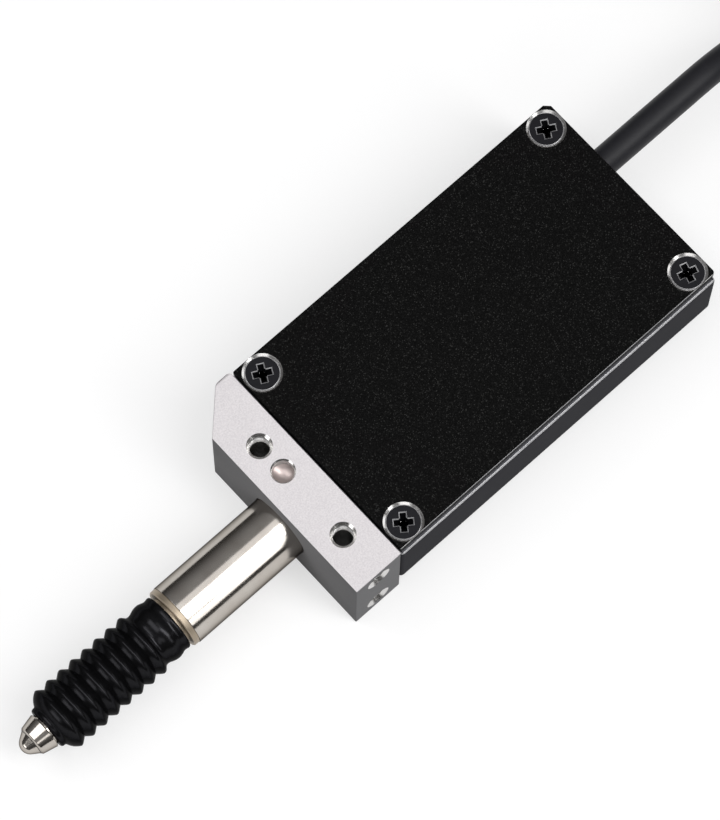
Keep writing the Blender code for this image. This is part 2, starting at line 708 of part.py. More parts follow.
board_screws = [
    (BOARD_X + POST_INSET, BOARD_Y + BOARD_WIDTH - POST_INSET),
    (BOARD_X + BOARD_LENGTH - POST_INSET, BOARD_Y + BOARD_WIDTH - POST_INSET),
]
small_hole = SMALL_SCREW_SHANK_RADIUS + SEAT
for number, (x, y) in enumerate(board_screws, 1):
    post = rod_outline(FLOOR_TOP - MM, BOARD_BOTTOM - SEAT, POST_RADIUS)
    cut(hollow, turned(f"keep_post_{number}", post, black_case, (x, y, 0.0), "Z", SMALL_ROUND))
cut(case, hollow)
for number, (x, y) in enumerate(cover_screws, 1):
    hole = rod_outline(screw_end - SEAT, CASE_RIM + MM, screw_hole)
    cut(case, turned(f"cut_boss_{number}", hole, black_case, (x, y, 0.0), "Z", SMALL_ROUND))
for number, (x, y) in enumerate(board_screws, 1):
    hole = rod_outline(FLOOR_TOP - FLOOR_HOLE_DEPTH, BOARD_BOTTOM + MM, small_hole)
    cut(case, turned(f"cut_post_{number}", hole, black_case, (x, y, 0.0), "Z", SMALL_CUT))

head_screw_y = HEAD_WIDTH / 2 + HEAD_SCREW_OUT
head_screws = [
    (HEAD_X + HEAD_SCREW_X, head_screw_y),
    (HEAD_X + HEAD_SCREW_X, -head_screw_y),
]
for number, (x, y) in enumerate(head_screws, 1):
    hole = rod_outline(FLOOR_TOP - FLOOR_HOLE_DEPTH, FLOOR_TOP + MM, small_hole)
    cut(case, turned(f"cut_floor_{number}", hole, black_case, (x, y, 0.0), "Z", SMALL_ROUND))

neck_hole = rod_outline(CASE_FRONT - MM, CASE_FRONT + CASE_WALL + MM, STEM_NECK_RADIUS + SEAT)
cut(case, turned("cut_neck_hole", neck_hole, black_case, (0.0, 0.0, STEM_Z)))
cable_hole = rod_outline(CASE_BACK - CASE_WALL - MM, CASE_BACK + MM, CABLE_RADIUS + SEAT)
cut(case, turned("cut_cable_hole", cable_hole, black_case, (0.0, CABLE_Y, CABLE_Z), "X", SMALL_CUT))
rod_seat = CASE_FRONT + CASE_WALL - ROD_SEAT_DEPTH
rod_hole = rod_outline(rod_seat, CASE_FRONT + CASE_WALL + MM, ROD_RADIUS + SEAT)
cut(case, turned("cut_rod_seat", rod_hole, black_case, (0.0, ROD_Y, STEM_Z), "X", SMALL_CUT))

# Screws from inside the case into the block

body_screws = [CASE_LEFT - BODY_SCREW_INSET, -CASE_RIGHT + BODY_SCREW_INSET]
body_hole = rod_outline(
    BLOCK_BACK - BODY_SCREW_GRIP - SEAT,
    CASE_FRONT + CASE_WALL + MM,
    BODY_SCREW_SHANK_RADIUS + SEAT,
)
for number, y in enumerate(body_screws, 1):
    place = (0.0, y, CASE_BOTTOM + BODY_SCREW_ABOVE_CASE)
    for owner in (block, case):
        tool = turned(f"cut_body_{number}_{owner.name}", body_hole, steel, place, "X", SMALL_ROUND)
        cut(owner, tool)
    screw = turned(
        f"body_screw_{number}",
        [
            (BLOCK_BACK - BODY_SCREW_GRIP, 0.0),
            (BLOCK_BACK - BODY_SCREW_GRIP, BODY_SCREW_SHANK_RADIUS),
            (SCREW_SEAT_X, BODY_SCREW_SHANK_RADIUS),
            (SCREW_SEAT_X, BODY_SCREW_HEAD_RADIUS),
            (SCREW_SEAT_X + BODY_SCREW_HEAD_LENGTH, BODY_SCREW_HEAD_RADIUS),
            (SCREW_SEAT_X + BODY_SCREW_HEAD_LENGTH, 0.0),
        ],
        black_steel,
        place,
        steps=SMALL_ROUND,
    )
    socket = rod_outline(
        SCREW_SEAT_X + BODY_SCREW_HEAD_LENGTH - HEX_SOCKET_DEPTH,
        SCREW_SEAT_X + BODY_SCREW_HEAD_LENGTH + MM,
        HEX_SOCKET_RADIUS,
    )
    cut(screw, turned(f"cut_socket_{number}", socket, black_steel, place, "X", 6))

# Gasket and cover

gasket = box(
    "cover_gasket",
    (CASE_FRONT + GASKET_INSET, -CASE_RIGHT + GASKET_INSET, GASKET_TOP - GASKET_THICK),
    (CASE_BACK - GASKET_INSET, CASE_LEFT - GASKET_INSET, GASKET_TOP),
    rubber,
)
gasket_hole = box(
    "cut_gasket",
    (CASE_FRONT + CASE_WALL, -CASE_RIGHT + CASE_WALL, GASKET_TOP - GASKET_THICK - MM),
    (CASE_BACK - CASE_WALL, CASE_LEFT - CASE_WALL, GASKET_TOP + MM),
    rubber,
)
for number, (x, y) in enumerate(cover_screws, 1):
    pad = rod_outline(GASKET_TOP - GASKET_THICK - 2 * MM, GASKET_TOP + 2 * MM, BOSS_RADIUS)
    cut(gasket_hole, turned(f"keep_pad_{number}", pad, rubber, (x, y, 0.0), "Z", SMALL_ROUND))
cut(gasket, gasket_hole)

cover = box(
    "cover",
    (CASE_FRONT + COVER_END_INSET, -CASE_RIGHT + COVER_INSET, COVER_BOTTOM),
    (CASE_BACK - COVER_END_INSET, CASE_LEFT - COVER_INSET, COVER_TOP),
    black_cover,
)
soften(cover, COVER_EDGE)

head_slope = (SCREW_HEAD_RADIUS - SCREW_SHANK_RADIUS) / (SCREW_HEAD_HEIGHT - SCREW_HEAD_RIM)
sink_radius = SCREW_HEAD_RADIUS + COUNTERSINK_GAP
sink_radius += (SCREW_HEAD_SUNK + SCREW_HEAD_RIM) * head_slope
sink_depth = (sink_radius - screw_hole) / head_slope
sink_over = 0.5 * MM
for number, (x, y) in enumerate(cover_screws, 1):
    sink = [
        (COVER_BOTTOM - MM, 0.0),
        (COVER_BOTTOM - MM, screw_hole),
        (COVER_TOP - sink_depth, screw_hole),
        (COVER_TOP + sink_over, sink_radius + sink_over * head_slope),
        (COVER_TOP + sink_over, 0.0),
    ]
    cut(cover, turned(f"cut_sink_{number}", sink, black_cover, (x, y, 0.0), "Z", ROUND))
    hole = rod_outline(GASKET_TOP - GASKET_THICK - MM, GASKET_TOP + MM, screw_hole)
    cut(gasket, turned(f"cut_pad_{number}", hole, rubber, (x, y, 0.0), "Z", SMALL_ROUND))
    screw = turned(
        f"cover_screw_{number}",
        [
            (screw_end, 0.0),
            (screw_end, SCREW_SHANK_RADIUS),
            (screw_seat - SCREW_HEAD_HEIGHT, SCREW_SHANK_RADIUS),
            (screw_seat - SCREW_HEAD_RIM, SCREW_HEAD_RADIUS),
            (screw_seat, SCREW_HEAD_RADIUS),
            (screw_seat, 0.0),
        ],
        black_steel,
        (x, y, 0.0),
        "Z",
        SMALL_CUT,
    )
    cross = box(
        f"cut_cross_{number}",
        (-RECESS_SPAN / 2, -RECESS_WIDTH / 2, screw_seat - RECESS_DEPTH),
        (RECESS_SPAN / 2, RECESS_WIDTH / 2, screw_seat + MM),
        black_steel,
    )
    arm = box(
        f"join_cross_{number}",
        (-RECESS_WIDTH / 2, -RECESS_SPAN / 2, screw_seat - RECESS_DEPTH),
        (RECESS_WIDTH / 2, RECESS_SPAN / 2, screw_seat + MM),
        black_steel,
    )
    join(cross, arm)
    for half in (cross, arm):
        half.location = (x, y, half.location.z)
        half.rotation_euler.z = math.radians(RECESS_TURNS[number - 1])
    cut(screw, cross)

# Scale carrier with its fork, set screw and glass scale

carrier = box(
    "scale_carrier",
    (CARRIER_X, -CARRIER_WIDTH / 2, STEM_Z - CARRIER_HEIGHT / 2),
    (CARRIER_X + CARRIER_LENGTH, CARRIER_WIDTH / 2, STEM_Z + CARRIER_HEIGHT / 2),
    aluminium,
)
rod_slot = ROD_RADIUS + RUNNING
fork = box(
    "join_fork",
    (CARRIER_X + MM, ROD_Y - rod_slot - FORK_LIP, STEM_Z - FORK_HEIGHT / 2),
    (CARRIER_X + MM + FORK_LENGTH, -CARRIER_WIDTH / 4, STEM_Z + FORK_HEIGHT / 2),
    aluminium,
)
join(carrier, fork)
fork_slot = box(
    "cut_fork",
    (CARRIER_X, ROD_Y - rod_slot - FORK_LIP - MM, STEM_Z - rod_slot),
    (CARRIER_X + MM + FORK_LENGTH + MM, ROD_Y + rod_slot, STEM_Z + rod_slot),
    aluminium,
)
cut(carrier, fork_slot)
carrier_bore = rod_outline(CARRIER_X - MM, SPINDLE_BACK + SEAT, SPINDLE_RADIUS + SEAT)
cut(carrier, turned("cut_carrier_bore", carrier_bore, aluminium, (0.0, 0.0, STEM_Z), "X", SMALL_CUT))
scale_slot = box(
    "cut_scale_slot",
    (SCALE_X - SEAT, -SCALE_THICK / 2 - SEAT, STEM_Z - SCALE_HEIGHT / 2 - SEAT),
    (CARRIER_X + CARRIER_LENGTH + MM, SCALE_THICK / 2 + SEAT, STEM_Z + SCALE_HEIGHT / 2 + SEAT),
    aluminium,
)
cut(carrier, scale_slot)
box(
    "glass_scale",
    (SCALE_X, -SCALE_THICK / 2, STEM_Z - SCALE_HEIGHT / 2),
    (SCALE_X + SCALE_LENGTH, SCALE_THICK / 2, STEM_Z + SCALE_HEIGHT / 2),
    glass,
)
set_screw_x = CARRIER_X + CARRIER_GRIP / 2
set_screw_low = STEM_Z + SPINDLE_RADIUS + SEAT
set_hole = rod_outline(STEM_Z, STEM_Z + CARRIER_HEIGHT, SET_SCREW_RADIUS + SEAT)
cut(
    carrier,
    turned("cut_set_screw", set_hole, aluminium, (set_screw_x, 0.0, 0.0), "Z", SMALL_ROUND),
)
set_screw = turned(
    "carrier_set_screw",
    rod_outline(set_screw_low, set_screw_low + SET_SCREW_LENGTH, SET_SCREW_RADIUS),
    black_steel,
    (set_screw_x, 0.0, 0.0),
    "Z",
    SMALL_ROUND,
)
set_socket = rod_outline(
    set_screw_low + SET_SCREW_LENGTH / 2,
    set_screw_low + SET_SCREW_LENGTH + MM,
    SET_SCREW_RADIUS / 2,
)
cut(
    set_screw,
    turned("cut_set_socket", set_socket, black_steel, (set_screw_x, 0.0, 0.0), "Z", 6),
)

# Reading head: a bridge with feet on the case's floor, and an ear that holds the guide rod

head_bottom = FLOOR_TOP + SEAT
reading_head = box(
    "reading_head",
    (HEAD_X, -HEAD_WIDTH / 2, head_bottom),
    (HEAD_X + HEAD_LENGTH, HEAD_WIDTH / 2, head_bottom + HEAD_HEIGHT),
    chip_black,
)
feet = box(
    "join_feet",
    (HEAD_X, -HEAD_WIDTH / 2 - FOOT_REACH, head_bottom),
    (HEAD_X + 2 * HEAD_SCREW_X, HEAD_WIDTH / 2 + FOOT_REACH, head_bottom + FOOT_THICK),
    chip_black,
)
join(reading_head, feet)
ear = box(
    "join_ear",
    (HEAD_X + HEAD_LENGTH - EAR_THICK, ROD_Y - EAR_HEIGHT / 2, STEM_Z - EAR_HEIGHT / 2),
    (HEAD_X + HEAD_LENGTH, -HEAD_WIDTH / 4, STEM_Z + EAR_HEIGHT / 2),
    chip_black,
)
join(reading_head, ear)
head_slot = box(
    "cut_head_slot",
    (HEAD_X - MM, -HEAD_GAP / 2, head_bottom + HEAD_SILL),
    (HEAD_X + HEAD_LENGTH + MM, HEAD_GAP / 2, head_bottom + HEAD_HEIGHT + MM),
    chip_black,
)
cut(reading_head, head_slot)
optic_x = HEAD_X + HEAD_LENGTH / 2
optic_bore = rod_outline(-HEAD_WIDTH / 2, HEAD_WIDTH / 2 + MM, OPTIC_RADIUS + SEAT)
cut(
    reading_head,
    turned("cut_optics", optic_bore, chip_black, (optic_x, 0.0, STEM_Z), "Y", SMALL_CUT),
)
rod_bore = rod_outline(HEAD_X - MM, HEAD_X + HEAD_LENGTH + MM, ROD_RADIUS + SEAT)
cut(
    reading_head,
    turned("cut_rod_bore", rod_bore, chip_black, (0.0, ROD_Y, STEM_Z), "X", SMALL_CUT),
)
for number, (x, y) in enumerate(head_screws, 1):
    hole = rod_outline(head_bottom - MM, head_bottom + FOOT_THICK + MM, small_hole)
    cut(
        reading_head,
        turned(f"cut_foot_{number}", hole, chip_black, (x, y, 0.0), "Z", SMALL_ROUND),
    )

optic_near = HEAD_GAP / 2 + SEAT
turned(
    "light_source",
    rod_outline(optic_near, optic_near + OPTIC_LENGTH, OPTIC_RADIUS),
    clear_epoxy,
    (optic_x, 0.0, STEM_Z),
    "Y",
    SMALL_ROUND,
)
turned(
    "photodetector",
    rod_outline(-optic_near - OPTIC_LENGTH, -optic_near, OPTIC_RADIUS),
    chip_black,
    (optic_x, 0.0, STEM_Z),
    "Y",
    SMALL_ROUND,
)
turned(
    "guide_rod",
    rod_outline(rod_seat + SEAT, HEAD_X + HEAD_LENGTH - SEAT, ROD_RADIUS),
    steel,
    (0.0, ROD_Y, STEM_Z),
    "X",
    SMALL_ROUND,
)


def small_screw(name, x, y, seat, reach):
    """A small pan-head screw that stands on seat and reaches down by reach."""
    return turned(
        name,
        [
            (seat - reach, 0.0),
            (seat - reach, SMALL_SCREW_SHANK_RADIUS),
            (seat + SEAT, SMALL_SCREW_SHANK_RADIUS),
            (seat + SEAT, SMALL_SCREW_HEAD_RADIUS),
            (seat + SEAT + SCREW_DOME * SMALL_SCREW_HEAD_LENGTH, SMALL_SCREW_HEAD_RADIUS),
            (seat + SEAT + SMALL_SCREW_HEAD_LENGTH, SCREW_DOME * SMALL_SCREW_HEAD_RADIUS),
            (seat + SEAT + SMALL_SCREW_HEAD_LENGTH, 0.0),
        ],
        spring_steel,
        (x, y, 0.0),
        "Z",
        SMALL_ROUND,
    )


for number, (x, y) in enumerate(head_screws, 1):
    small_screw(f"head_screw_{number}", x, y, head_bottom + FOOT_THICK, FOOT_THICK + CASE_FLOOR / 2)

# Circuit board with its chips and header

board = box(
    "circuit_board",
    (BOARD_X, BOARD_Y, BOARD_BOTTOM),
    (BOARD_X + BOARD_LENGTH, BOARD_Y + BOARD_WIDTH, BOARD_TOP),
    board_green,
)
for number, (x, y) in enumerate(board_screws, 1):
    hole = rod_outline(BOARD_BOTTOM - MM, BOARD_TOP + MM, small_hole)
    cut(board, turned(f"cut_board_{number}", hole, board_green, (x, y, 0.0), "Z", SMALL_ROUND))
    small_screw(f"board_screw_{number}", x, y, BOARD_TOP, BOARD_THICK + BOARD_RISE / 2)

board_middle = BOARD_Y + BOARD_WIDTH / 2
header_x = BOARD_X + BOARD_LENGTH - WIRE_HEADER_INSET
for name, size, x, material in (
    ("signal_chip", SIGNAL_CHIP, BOARD_X + SIGNAL_CHIP_SHARE * BOARD_LENGTH, chip_black),
    ("driver_chip", DRIVER_CHIP, BOARD_X + DRIVER_CHIP_SHARE * BOARD_LENGTH, chip_black),
    ("wire_header", WIRE_HEADER, header_x, header_white),
):
    length, width, height = size
    y = board_middle if name != "wire_header" else BOARD_Y + width / 2 + SEAT
    box(
        name,
        (x - length / 2, y - width / 2, BOARD_TOP + SEAT),
        (x + length / 2, y + width / 2, BOARD_TOP + SEAT + height),
        material,
    )

# Cable clamp in the back wall: a collar inside, and a spigot that fills the hole

turned(
    "cable_clamp",
    [
        (CLAMP_BACK - CLAMP_LENGTH, 0.0),
        (CLAMP_BACK - CLAMP_LENGTH, CLAMP_RADIUS),
        (CLAMP_BACK, CLAMP_RADIUS),
        (CLAMP_BACK, CABLE_RADIUS),
        (CASE_BACK, CABLE_RADIUS),
        (CASE_BACK, 0.0),
    ],
    rubber,
    (0.0, CABLE_Y, CABLE_Z),
    steps=SMALL_CUT,
)

# Cable: straight out of the case, then down to the surface, to its hank

cable_line = []
for step in range(CABLE_POINTS + 1):
    distance = CORD_GAP + (CABLE_RUN - CORD_GAP) * step / CABLE_POINTS
    drop = min(max((distance - CABLE_STRAIGHT) / CABLE_DROP_LENGTH, 0.0), 1.0)
    sink = (CABLE_Z - CABLE_REST_Z) * (1 - math.cos(math.pi * drop)) / 2
    cable_line.append((CASE_BACK + distance, CABLE_Y, CABLE_Z - sink))
tube("cable", cable_line, CABLE_RADIUS, cable_grey)

hank_sections = []
for end_x, first in ((HANK_LEFT, 90), (HANK_LEFT + HANK_STRAIGHT, -90)):
    for step in range(FOLD_STEPS + 1):
        angle = math.radians(first + 180 * step / FOLD_STEPS)
        hank_sections.append((end_x, math.cos(angle), math.sin(angle)))
half = HANK_SECTION / 2
hank_outline = [
    (-half, HANK_CORNER),
    (HANK_CORNER - half, 0.0),
    (half - HANK_CORNER, 0.0),
    (half, HANK_CORNER),
    (half, HANK_HEIGHT - HANK_CORNER),
    (half - HANK_CORNER, HANK_HEIGHT),
    (HANK_CORNER - half, HANK_HEIGHT),
    (-half, HANK_HEIGHT - HANK_CORNER),
]
hank_points = []
for end_x, across_x, across_y in hank_sections:
    for offset, z in hank_outline:
        out = HANK_MEAN + offset
        hank_points.append((end_x + out * across_x, HANK_Y + out * across_y, z))
sides = len(hank_outline)
hank_faces = []
for number in range(len(hank_sections)):
    here = number * sides
    there = (number + 1) % len(hank_sections) * sides
    for side in range(sides):
        after = (side + 1) % sides
        hank_faces.append((here + side, there + side, there + after, here + after))
hank_mesh = bpy.data.meshes.new("cable_hank")
hank_mesh.from_pydata(hank_points, [], hank_faces)
show(hank_mesh, "cable_hank", cable_grey)

# The cable's last stretch lies on the hank and folds back with it, to the plug along its top

tail_low = HANK_HEIGHT + CORD_GAP + CABLE_RADIUS
tail_line = [(HANK_LEFT + TAIL_LENGTH, HANK_Y - HANK_MEAN, tail_low)]
for step in range(BEND_POINTS + 1):
    angle = math.pi * step / BEND_POINTS
    rise = (PLUG_Z - tail_low) * (1 - math.cos(angle)) / 2
    tail_line.append(
        (
            HANK_LEFT - HANK_MEAN * math.sin(angle),
            HANK_Y - HANK_MEAN * math.cos(angle),
            tail_low + rise,
        )
    )
tube("cable_tail", tail_line, CABLE_RADIUS, cable_grey)

shell_start = BOOT_LENGTH + CORD_GAP
shell_end = PLUG_LENGTH - PLUG_MOUTH
coupling_start = PLUG_LENGTH - COUPLING_LENGTH
coupling_bore = SHELL_RADIUS + SEAT
shell_bore = SHELL_RADIUS - SHELL_WALL
plug_place = (PLUG_X, PLUG_Y, PLUG_Z)
turned(
    "plug_boot",
    [
        (0.0, 0.0),
        (0.0, CABLE_RADIUS + BOOT_TIP_WALL),
        (0.6 * BOOT_LENGTH, BOOT_RADIUS - BOOT_TIP_WALL),
        (BOOT_LENGTH, BOOT_RADIUS),
        (BOOT_LENGTH, 0.0),
    ],
    rubber,
    plug_place,
    "X",
    SMALL_CUT,
)
turned(
    "plug_shell",
    [
        (shell_start, 0.0),
        (shell_start, SHELL_RADIUS),
        (shell_end, SHELL_RADIUS),
        (shell_end, shell_bore),
        (shell_end - SOCKET_DEPTH, shell_bore),
        (shell_end - SOCKET_DEPTH, 0.0),
    ],
    plug_metal,
    plug_place,
    "X",
    SMALL_CUT,
)
turned(
    "plug_coupling",
    [
        (coupling_start, PLUG_RADIUS - PLUG_EDGE),
        (coupling_start + PLUG_EDGE, PLUG_RADIUS),
        (PLUG_LENGTH - PLUG_EDGE, PLUG_RADIUS),
        (PLUG_LENGTH, PLUG_RADIUS - PLUG_EDGE),
        (PLUG_LENGTH, coupling_bore),
        (coupling_start, coupling_bore),
    ],
    plug_metal,
    plug_place,
    "X",
    SMALL_CUT,
    ring=True,
)
insert_back = shell_end - SOCKET_DEPTH + SEAT
insert_front = insert_back + INSERT_THICK
insert = turned(
    "plug_insert",
    rod_outline(insert_back, insert_front, shell_bore - SEAT),
    chip_black,
    plug_place,
    "X",
    SMALL_ROUND,
)
for number in range(PIN_COUNT):
    angle = 2 * math.pi * number / PIN_COUNT
    place = (
        PLUG_X,
        PLUG_Y + PIN_CIRCLE_RADIUS * math.cos(angle),
        PLUG_Z + PIN_CIRCLE_RADIUS * math.sin(angle),
    )
    pin = rod_outline(insert_front - PIN_ROOT, insert_front + PIN_LENGTH, PIN_RADIUS)
    join(insert, turned(f"join_pin_{number + 1}", pin, plug_metal, place, "X", 8))
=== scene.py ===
"""Looks, camera and light for a linear gauge sensor, its cable and its plug."""

import math

import bpy
from mathutils import Matrix, Quaternion, Vector


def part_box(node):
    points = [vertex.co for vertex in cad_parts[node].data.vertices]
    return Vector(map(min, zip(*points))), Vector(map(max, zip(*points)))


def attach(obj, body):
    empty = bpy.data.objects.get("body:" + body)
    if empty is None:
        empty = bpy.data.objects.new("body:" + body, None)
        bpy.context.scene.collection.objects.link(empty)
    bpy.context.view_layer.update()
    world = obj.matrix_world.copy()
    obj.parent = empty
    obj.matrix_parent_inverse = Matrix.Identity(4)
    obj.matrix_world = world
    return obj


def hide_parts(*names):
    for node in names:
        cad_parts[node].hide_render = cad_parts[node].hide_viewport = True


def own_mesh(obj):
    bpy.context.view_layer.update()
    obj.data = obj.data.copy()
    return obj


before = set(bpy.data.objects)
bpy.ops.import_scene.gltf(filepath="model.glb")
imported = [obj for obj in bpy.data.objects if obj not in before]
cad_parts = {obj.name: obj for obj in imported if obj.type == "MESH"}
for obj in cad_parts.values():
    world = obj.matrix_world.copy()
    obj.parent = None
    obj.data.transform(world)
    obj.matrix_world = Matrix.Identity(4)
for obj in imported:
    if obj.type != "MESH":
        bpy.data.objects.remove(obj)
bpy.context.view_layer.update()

MM = 0.001
BODY = "sensor_body"
MOVING = "spindle_group"

# Camera, placed from a fit to the photograph's edges, for a picture of 720 by 820 pixels

PICTURE_HEIGHT = 820
FOCAL_PIXELS = 4291.7
SENSOR = 36.0
RIGHT = Vector((0.739121, -0.673540, 0.006637))
UP = Vector((0.641692, 0.707100, 0.297053))
BACK = Vector((-0.204770, -0.215299, 0.954838))
CAMERA_PLACE = Vector((-88.339, -102.204, 477.915)) * MM
NEAREST = 10 * MM
FARTHEST = 20.0

lens = bpy.data.cameras.new("camera")
lens.sensor_width = SENSOR
lens.lens = FOCAL_PIXELS * SENSOR / PICTURE_HEIGHT
lens.clip_start = NEAREST
lens.clip_end = FARTHEST
camera = bpy.data.objects.new("camera", lens)
turn = Matrix((RIGHT, UP, BACK)).transposed().to_4x4()
camera.matrix_world = Matrix.Translation(CAMERA_PLACE) @ turn
bpy.context.scene.collection.objects.link(camera)
bpy.context.scene.camera = camera

# Sizes, as in the part's source or, for the case, as the photograph shows

STEM_Z = 6.65 * MM
BLOCK_FRONT = -3.375 * MM
BLOCK_BACK = 3.375 * MM
BLOCK_LEFT = 16.0 * MM
BLOCK_RIGHT = -13.0 * MM
BLOCK_TOP = 13.3 * MM
CASE_FRONT = 3.575 * MM
CASE_BACK = 52.575 * MM
CASE_LEFT = 15.75 * MM
CASE_RIGHT = -12.96 * MM
CASE_BOTTOM = 1.95 * MM
CASE_RIM = 11.42 * MM
COVER_TOP = 13.22 * MM
COVER_BOTTOM = 12.22 * MM
STEM_FRONT = -19.025 * MM

CABLE_RADIUS = 1.84 * MM
CABLE_Y = 7.15 * MM
CABLE_Z = 7.6 * MM
CABLE_REST_Z = 2.44 * MM
CABLE_RUN = 37.5 * MM
CABLE_STRAIGHT = 16.6 * MM
CABLE_INSIDE = 1.2 * MM
CABLE_DROP_LENGTH = 20.2 * MM
CORD_GAP = 0.3 * MM
HANK_STRAIGHT = 38.0 * MM
HANK_OUTER = 16.75 * MM
HANK_MEAN = 13.0 * MM
FOLD_LENGTH = math.pi * HANK_MEAN
LOOP_LENGTH = 2 * (HANK_STRAIGHT + FOLD_LENGTH)
HANK_HEIGHT = 22.9 * MM
HANK_ENTRY = HANK_OUTER - CABLE_RADIUS - 0.1 * MM
HANK_REACH = math.sqrt(HANK_OUTER**2 - (HANK_ENTRY - CABLE_RADIUS) ** 2)
HANK_LEFT = CASE_BACK + CABLE_RUN + CORD_GAP + HANK_REACH
HANK_Y = CABLE_Y - HANK_ENTRY
HANK_PITCH = 3.71 * MM
HANK_LAYERS = 6
POINTS_TO_HANK = 34
POINTS_A_FOLD = 24
POINTS_A_RUN = 5
STEP_OVER = 0.18
TAIL_RISE_FROM = 0.46
TAIL_IN_FROM = 0.52
TAIL_Z = 25.04 * MM
PLUG_X = HANK_LEFT + CORD_GAP
PLUG_Y = HANK_Y + HANK_MEAN
PLUG_Z = 29.2 * MM


def smooth(share):
    """An easing from 0 to 1 that starts and ends level."""
    share = min(max(share, 0.0), 1.0)
    return share * share * (3 - 2 * share)


# Cable: out of the case, down to the surface, through its hank and up to the plug

route = []
run_end = CABLE_RUN + CORD_GAP + HANK_REACH
for i in range(POINTS_TO_HANK):
    along = -CABLE_INSIDE + (run_end + CABLE_INSIDE) * i / POINTS_TO_HANK
    drop = min(max((along - CABLE_STRAIGHT) / CABLE_DROP_LENGTH, 0.0), 1.0)
    sink = (CABLE_Z - CABLE_REST_Z) * (1 - math.cos(math.pi * drop)) / 2
    route.append((CASE_BACK + along, CABLE_Y, CABLE_Z - sink))


def on_hank(share, radius):
    """A place on a loop of the hank, at a share of one turn. It starts at the left end of the +Y run."""
    along = share * LOOP_LENGTH
    if along < HANK_STRAIGHT:
        return HANK_LEFT + along, HANK_Y + radius
    along -= HANK_STRAIGHT
    if along < FOLD_LENGTH:
        angle = along / HANK_MEAN
        return HANK_LEFT + HANK_STRAIGHT + radius * math.sin(angle), HANK_Y + radius * math.cos(angle)
    along -= FOLD_LENGTH
    if along < HANK_STRAIGHT:
        return HANK_LEFT + HANK_STRAIGHT - along, HANK_Y - radius
    angle = (along - HANK_STRAIGHT) / HANK_MEAN
    return HANK_LEFT - radius * math.sin(angle), HANK_Y - radius * math.cos(angle)


fold_share = FOLD_LENGTH / LOOP_LENGTH
run_share = 0.5 - fold_share
half_loop = [run_share * i / POINTS_A_RUN for i in range(POINTS_A_RUN)]
half_loop += [run_share + fold_share * i / POINTS_A_FOLD for i in range(POINTS_A_FOLD)]
loop_shares = half_loop + [0.5 + share for share in half_loop]
outer = HANK_ENTRY
inner = HANK_ENTRY - HANK_PITCH
loops = []
for layer in range(HANK_LAYERS):
    for radius in (outer, inner) if layer % 2 == 0 else (inner, outer):
        loops.append((radius, CABLE_REST_Z + HANK_PITCH * layer))
last_loop = len(loops) - 1
rise = TAIL_Z - loops[last_loop][1]
for number, (radius, height) in enumerate(loops):
    after = loops[min(number + 1, last_loop)]
    for share in loop_shares:
        over = smooth((share - 1 + STEP_OVER) / STEP_OVER)
        here = radius + (after[0] - radius) * over
        z = height + (after[1] - height) * over
        if number == last_loop:
            z += rise * smooth((share - TAIL_RISE_FROM) / run_share)
            here += (HANK_MEAN - radius) * smooth((share - TAIL_IN_FROM) / run_share)
            turned = math.pi * max(0.0, share - 0.5 - run_share) / fold_share
            z += (PLUG_Z - TAIL_Z) * (1 - math.cos(turned)) / 2
        route.append((*on_hank(share, here), z))
route.append((HANK_LEFT, PLUG_Y, PLUG_Z))


def round_wire(name, places, depth, thickness, resolution):
    """A curve through the places, with a radius of depth times thickness."""
    curve = bpy.data.curves.new(name, "CURVE")
    curve.dimensions = "3D"
    curve.bevel_depth = depth
    curve.bevel_resolution = resolution
    curve.use_fill_caps = True
    spline = curve.splines.new("POLY")
    spline.points.add(len(places) - 1)
    for point, place in zip(spline.points, places):
        point.co = (*place, 1.0)
        point.radius = thickness
    spline.use_smooth = True
    wire = bpy.data.objects.new(name, curve)
    bpy.context.scene.collection.objects.link(wire)
    return wire


sensor_cable = round_wire("sensor_cable", route, 1.0, CABLE_RADIUS, 6)
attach(sensor_cable, BODY)
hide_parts("cable", "cable_hank", "cable_tail")

# Finishes


class Wire:
    """A shader socket that adds, subtracts and multiplies like a number."""

    def __init__(self, nodes, socket):
        self.nodes = nodes
        self.socket = socket

    def maths(self, operation, first, second):
        return self.nodes.node("ShaderNodeMath", {0: first, 1: second}, operation=operation)

    def __add__(self, other):
        return self.maths("ADD", self, other)

    def __sub__(self, other):
        return self.maths("SUBTRACT", self, other)

    def __mul__(self, other):
        return self.maths("MULTIPLY", self, other)

    __radd__ = __add__
    __rmul__ = __mul__

    def __rsub__(self, other):
        return self.maths("SUBTRACT", other, self)

    def __gt__(self, other):
        return self.maths("GREATER_THAN", self, other)

    def between(self, low, high):
        """0 below low and 1 above high, with a soft step between them."""
        sockets = {"Value": self, "From Min": low, "From Max": high}
        return self.nodes.node("ShaderNodeMapRange", sockets, interpolation_type="SMOOTHSTEP")


# A mix node has sockets of one name for each type, so its colour sockets go by their places
MIX_SHARE = 0
MIX_FIRST = 6
MIX_SECOND = 7
MIX_COLOUR = 2
WAVE_HEIGHT = 1


class Nodes:
    """The shader nodes of a material or of the world."""

    def __init__(self, owner):
        owner.use_nodes = True
        self.tree = owner.node_tree

    def node(self, kind, sockets=None, output=0, stops=None, **settings):
        """Adds a node with its settings, a ramp's two stops and its sockets, and gives one output."""
        node = self.tree.nodes.new(kind)
        for setting, value in settings.items():
            setattr(node, setting, value)
        if stops:
            node.color_ramp.interpolation = "EASE"
            for element, shade in zip(node.color_ramp.elements, stops):
                element.color = (*shade, 1.0)
        for key, value in (sockets or {}).items():
            self.join(node.inputs[key], value)
        return Wire(self, node.outputs[output])

    def join(self, socket, value):
        """Links a wire to the socket, or sets its value."""
        if isinstance(value, Wire):
            self.tree.links.new(value.socket, socket)
        else:
            socket.default_value = value


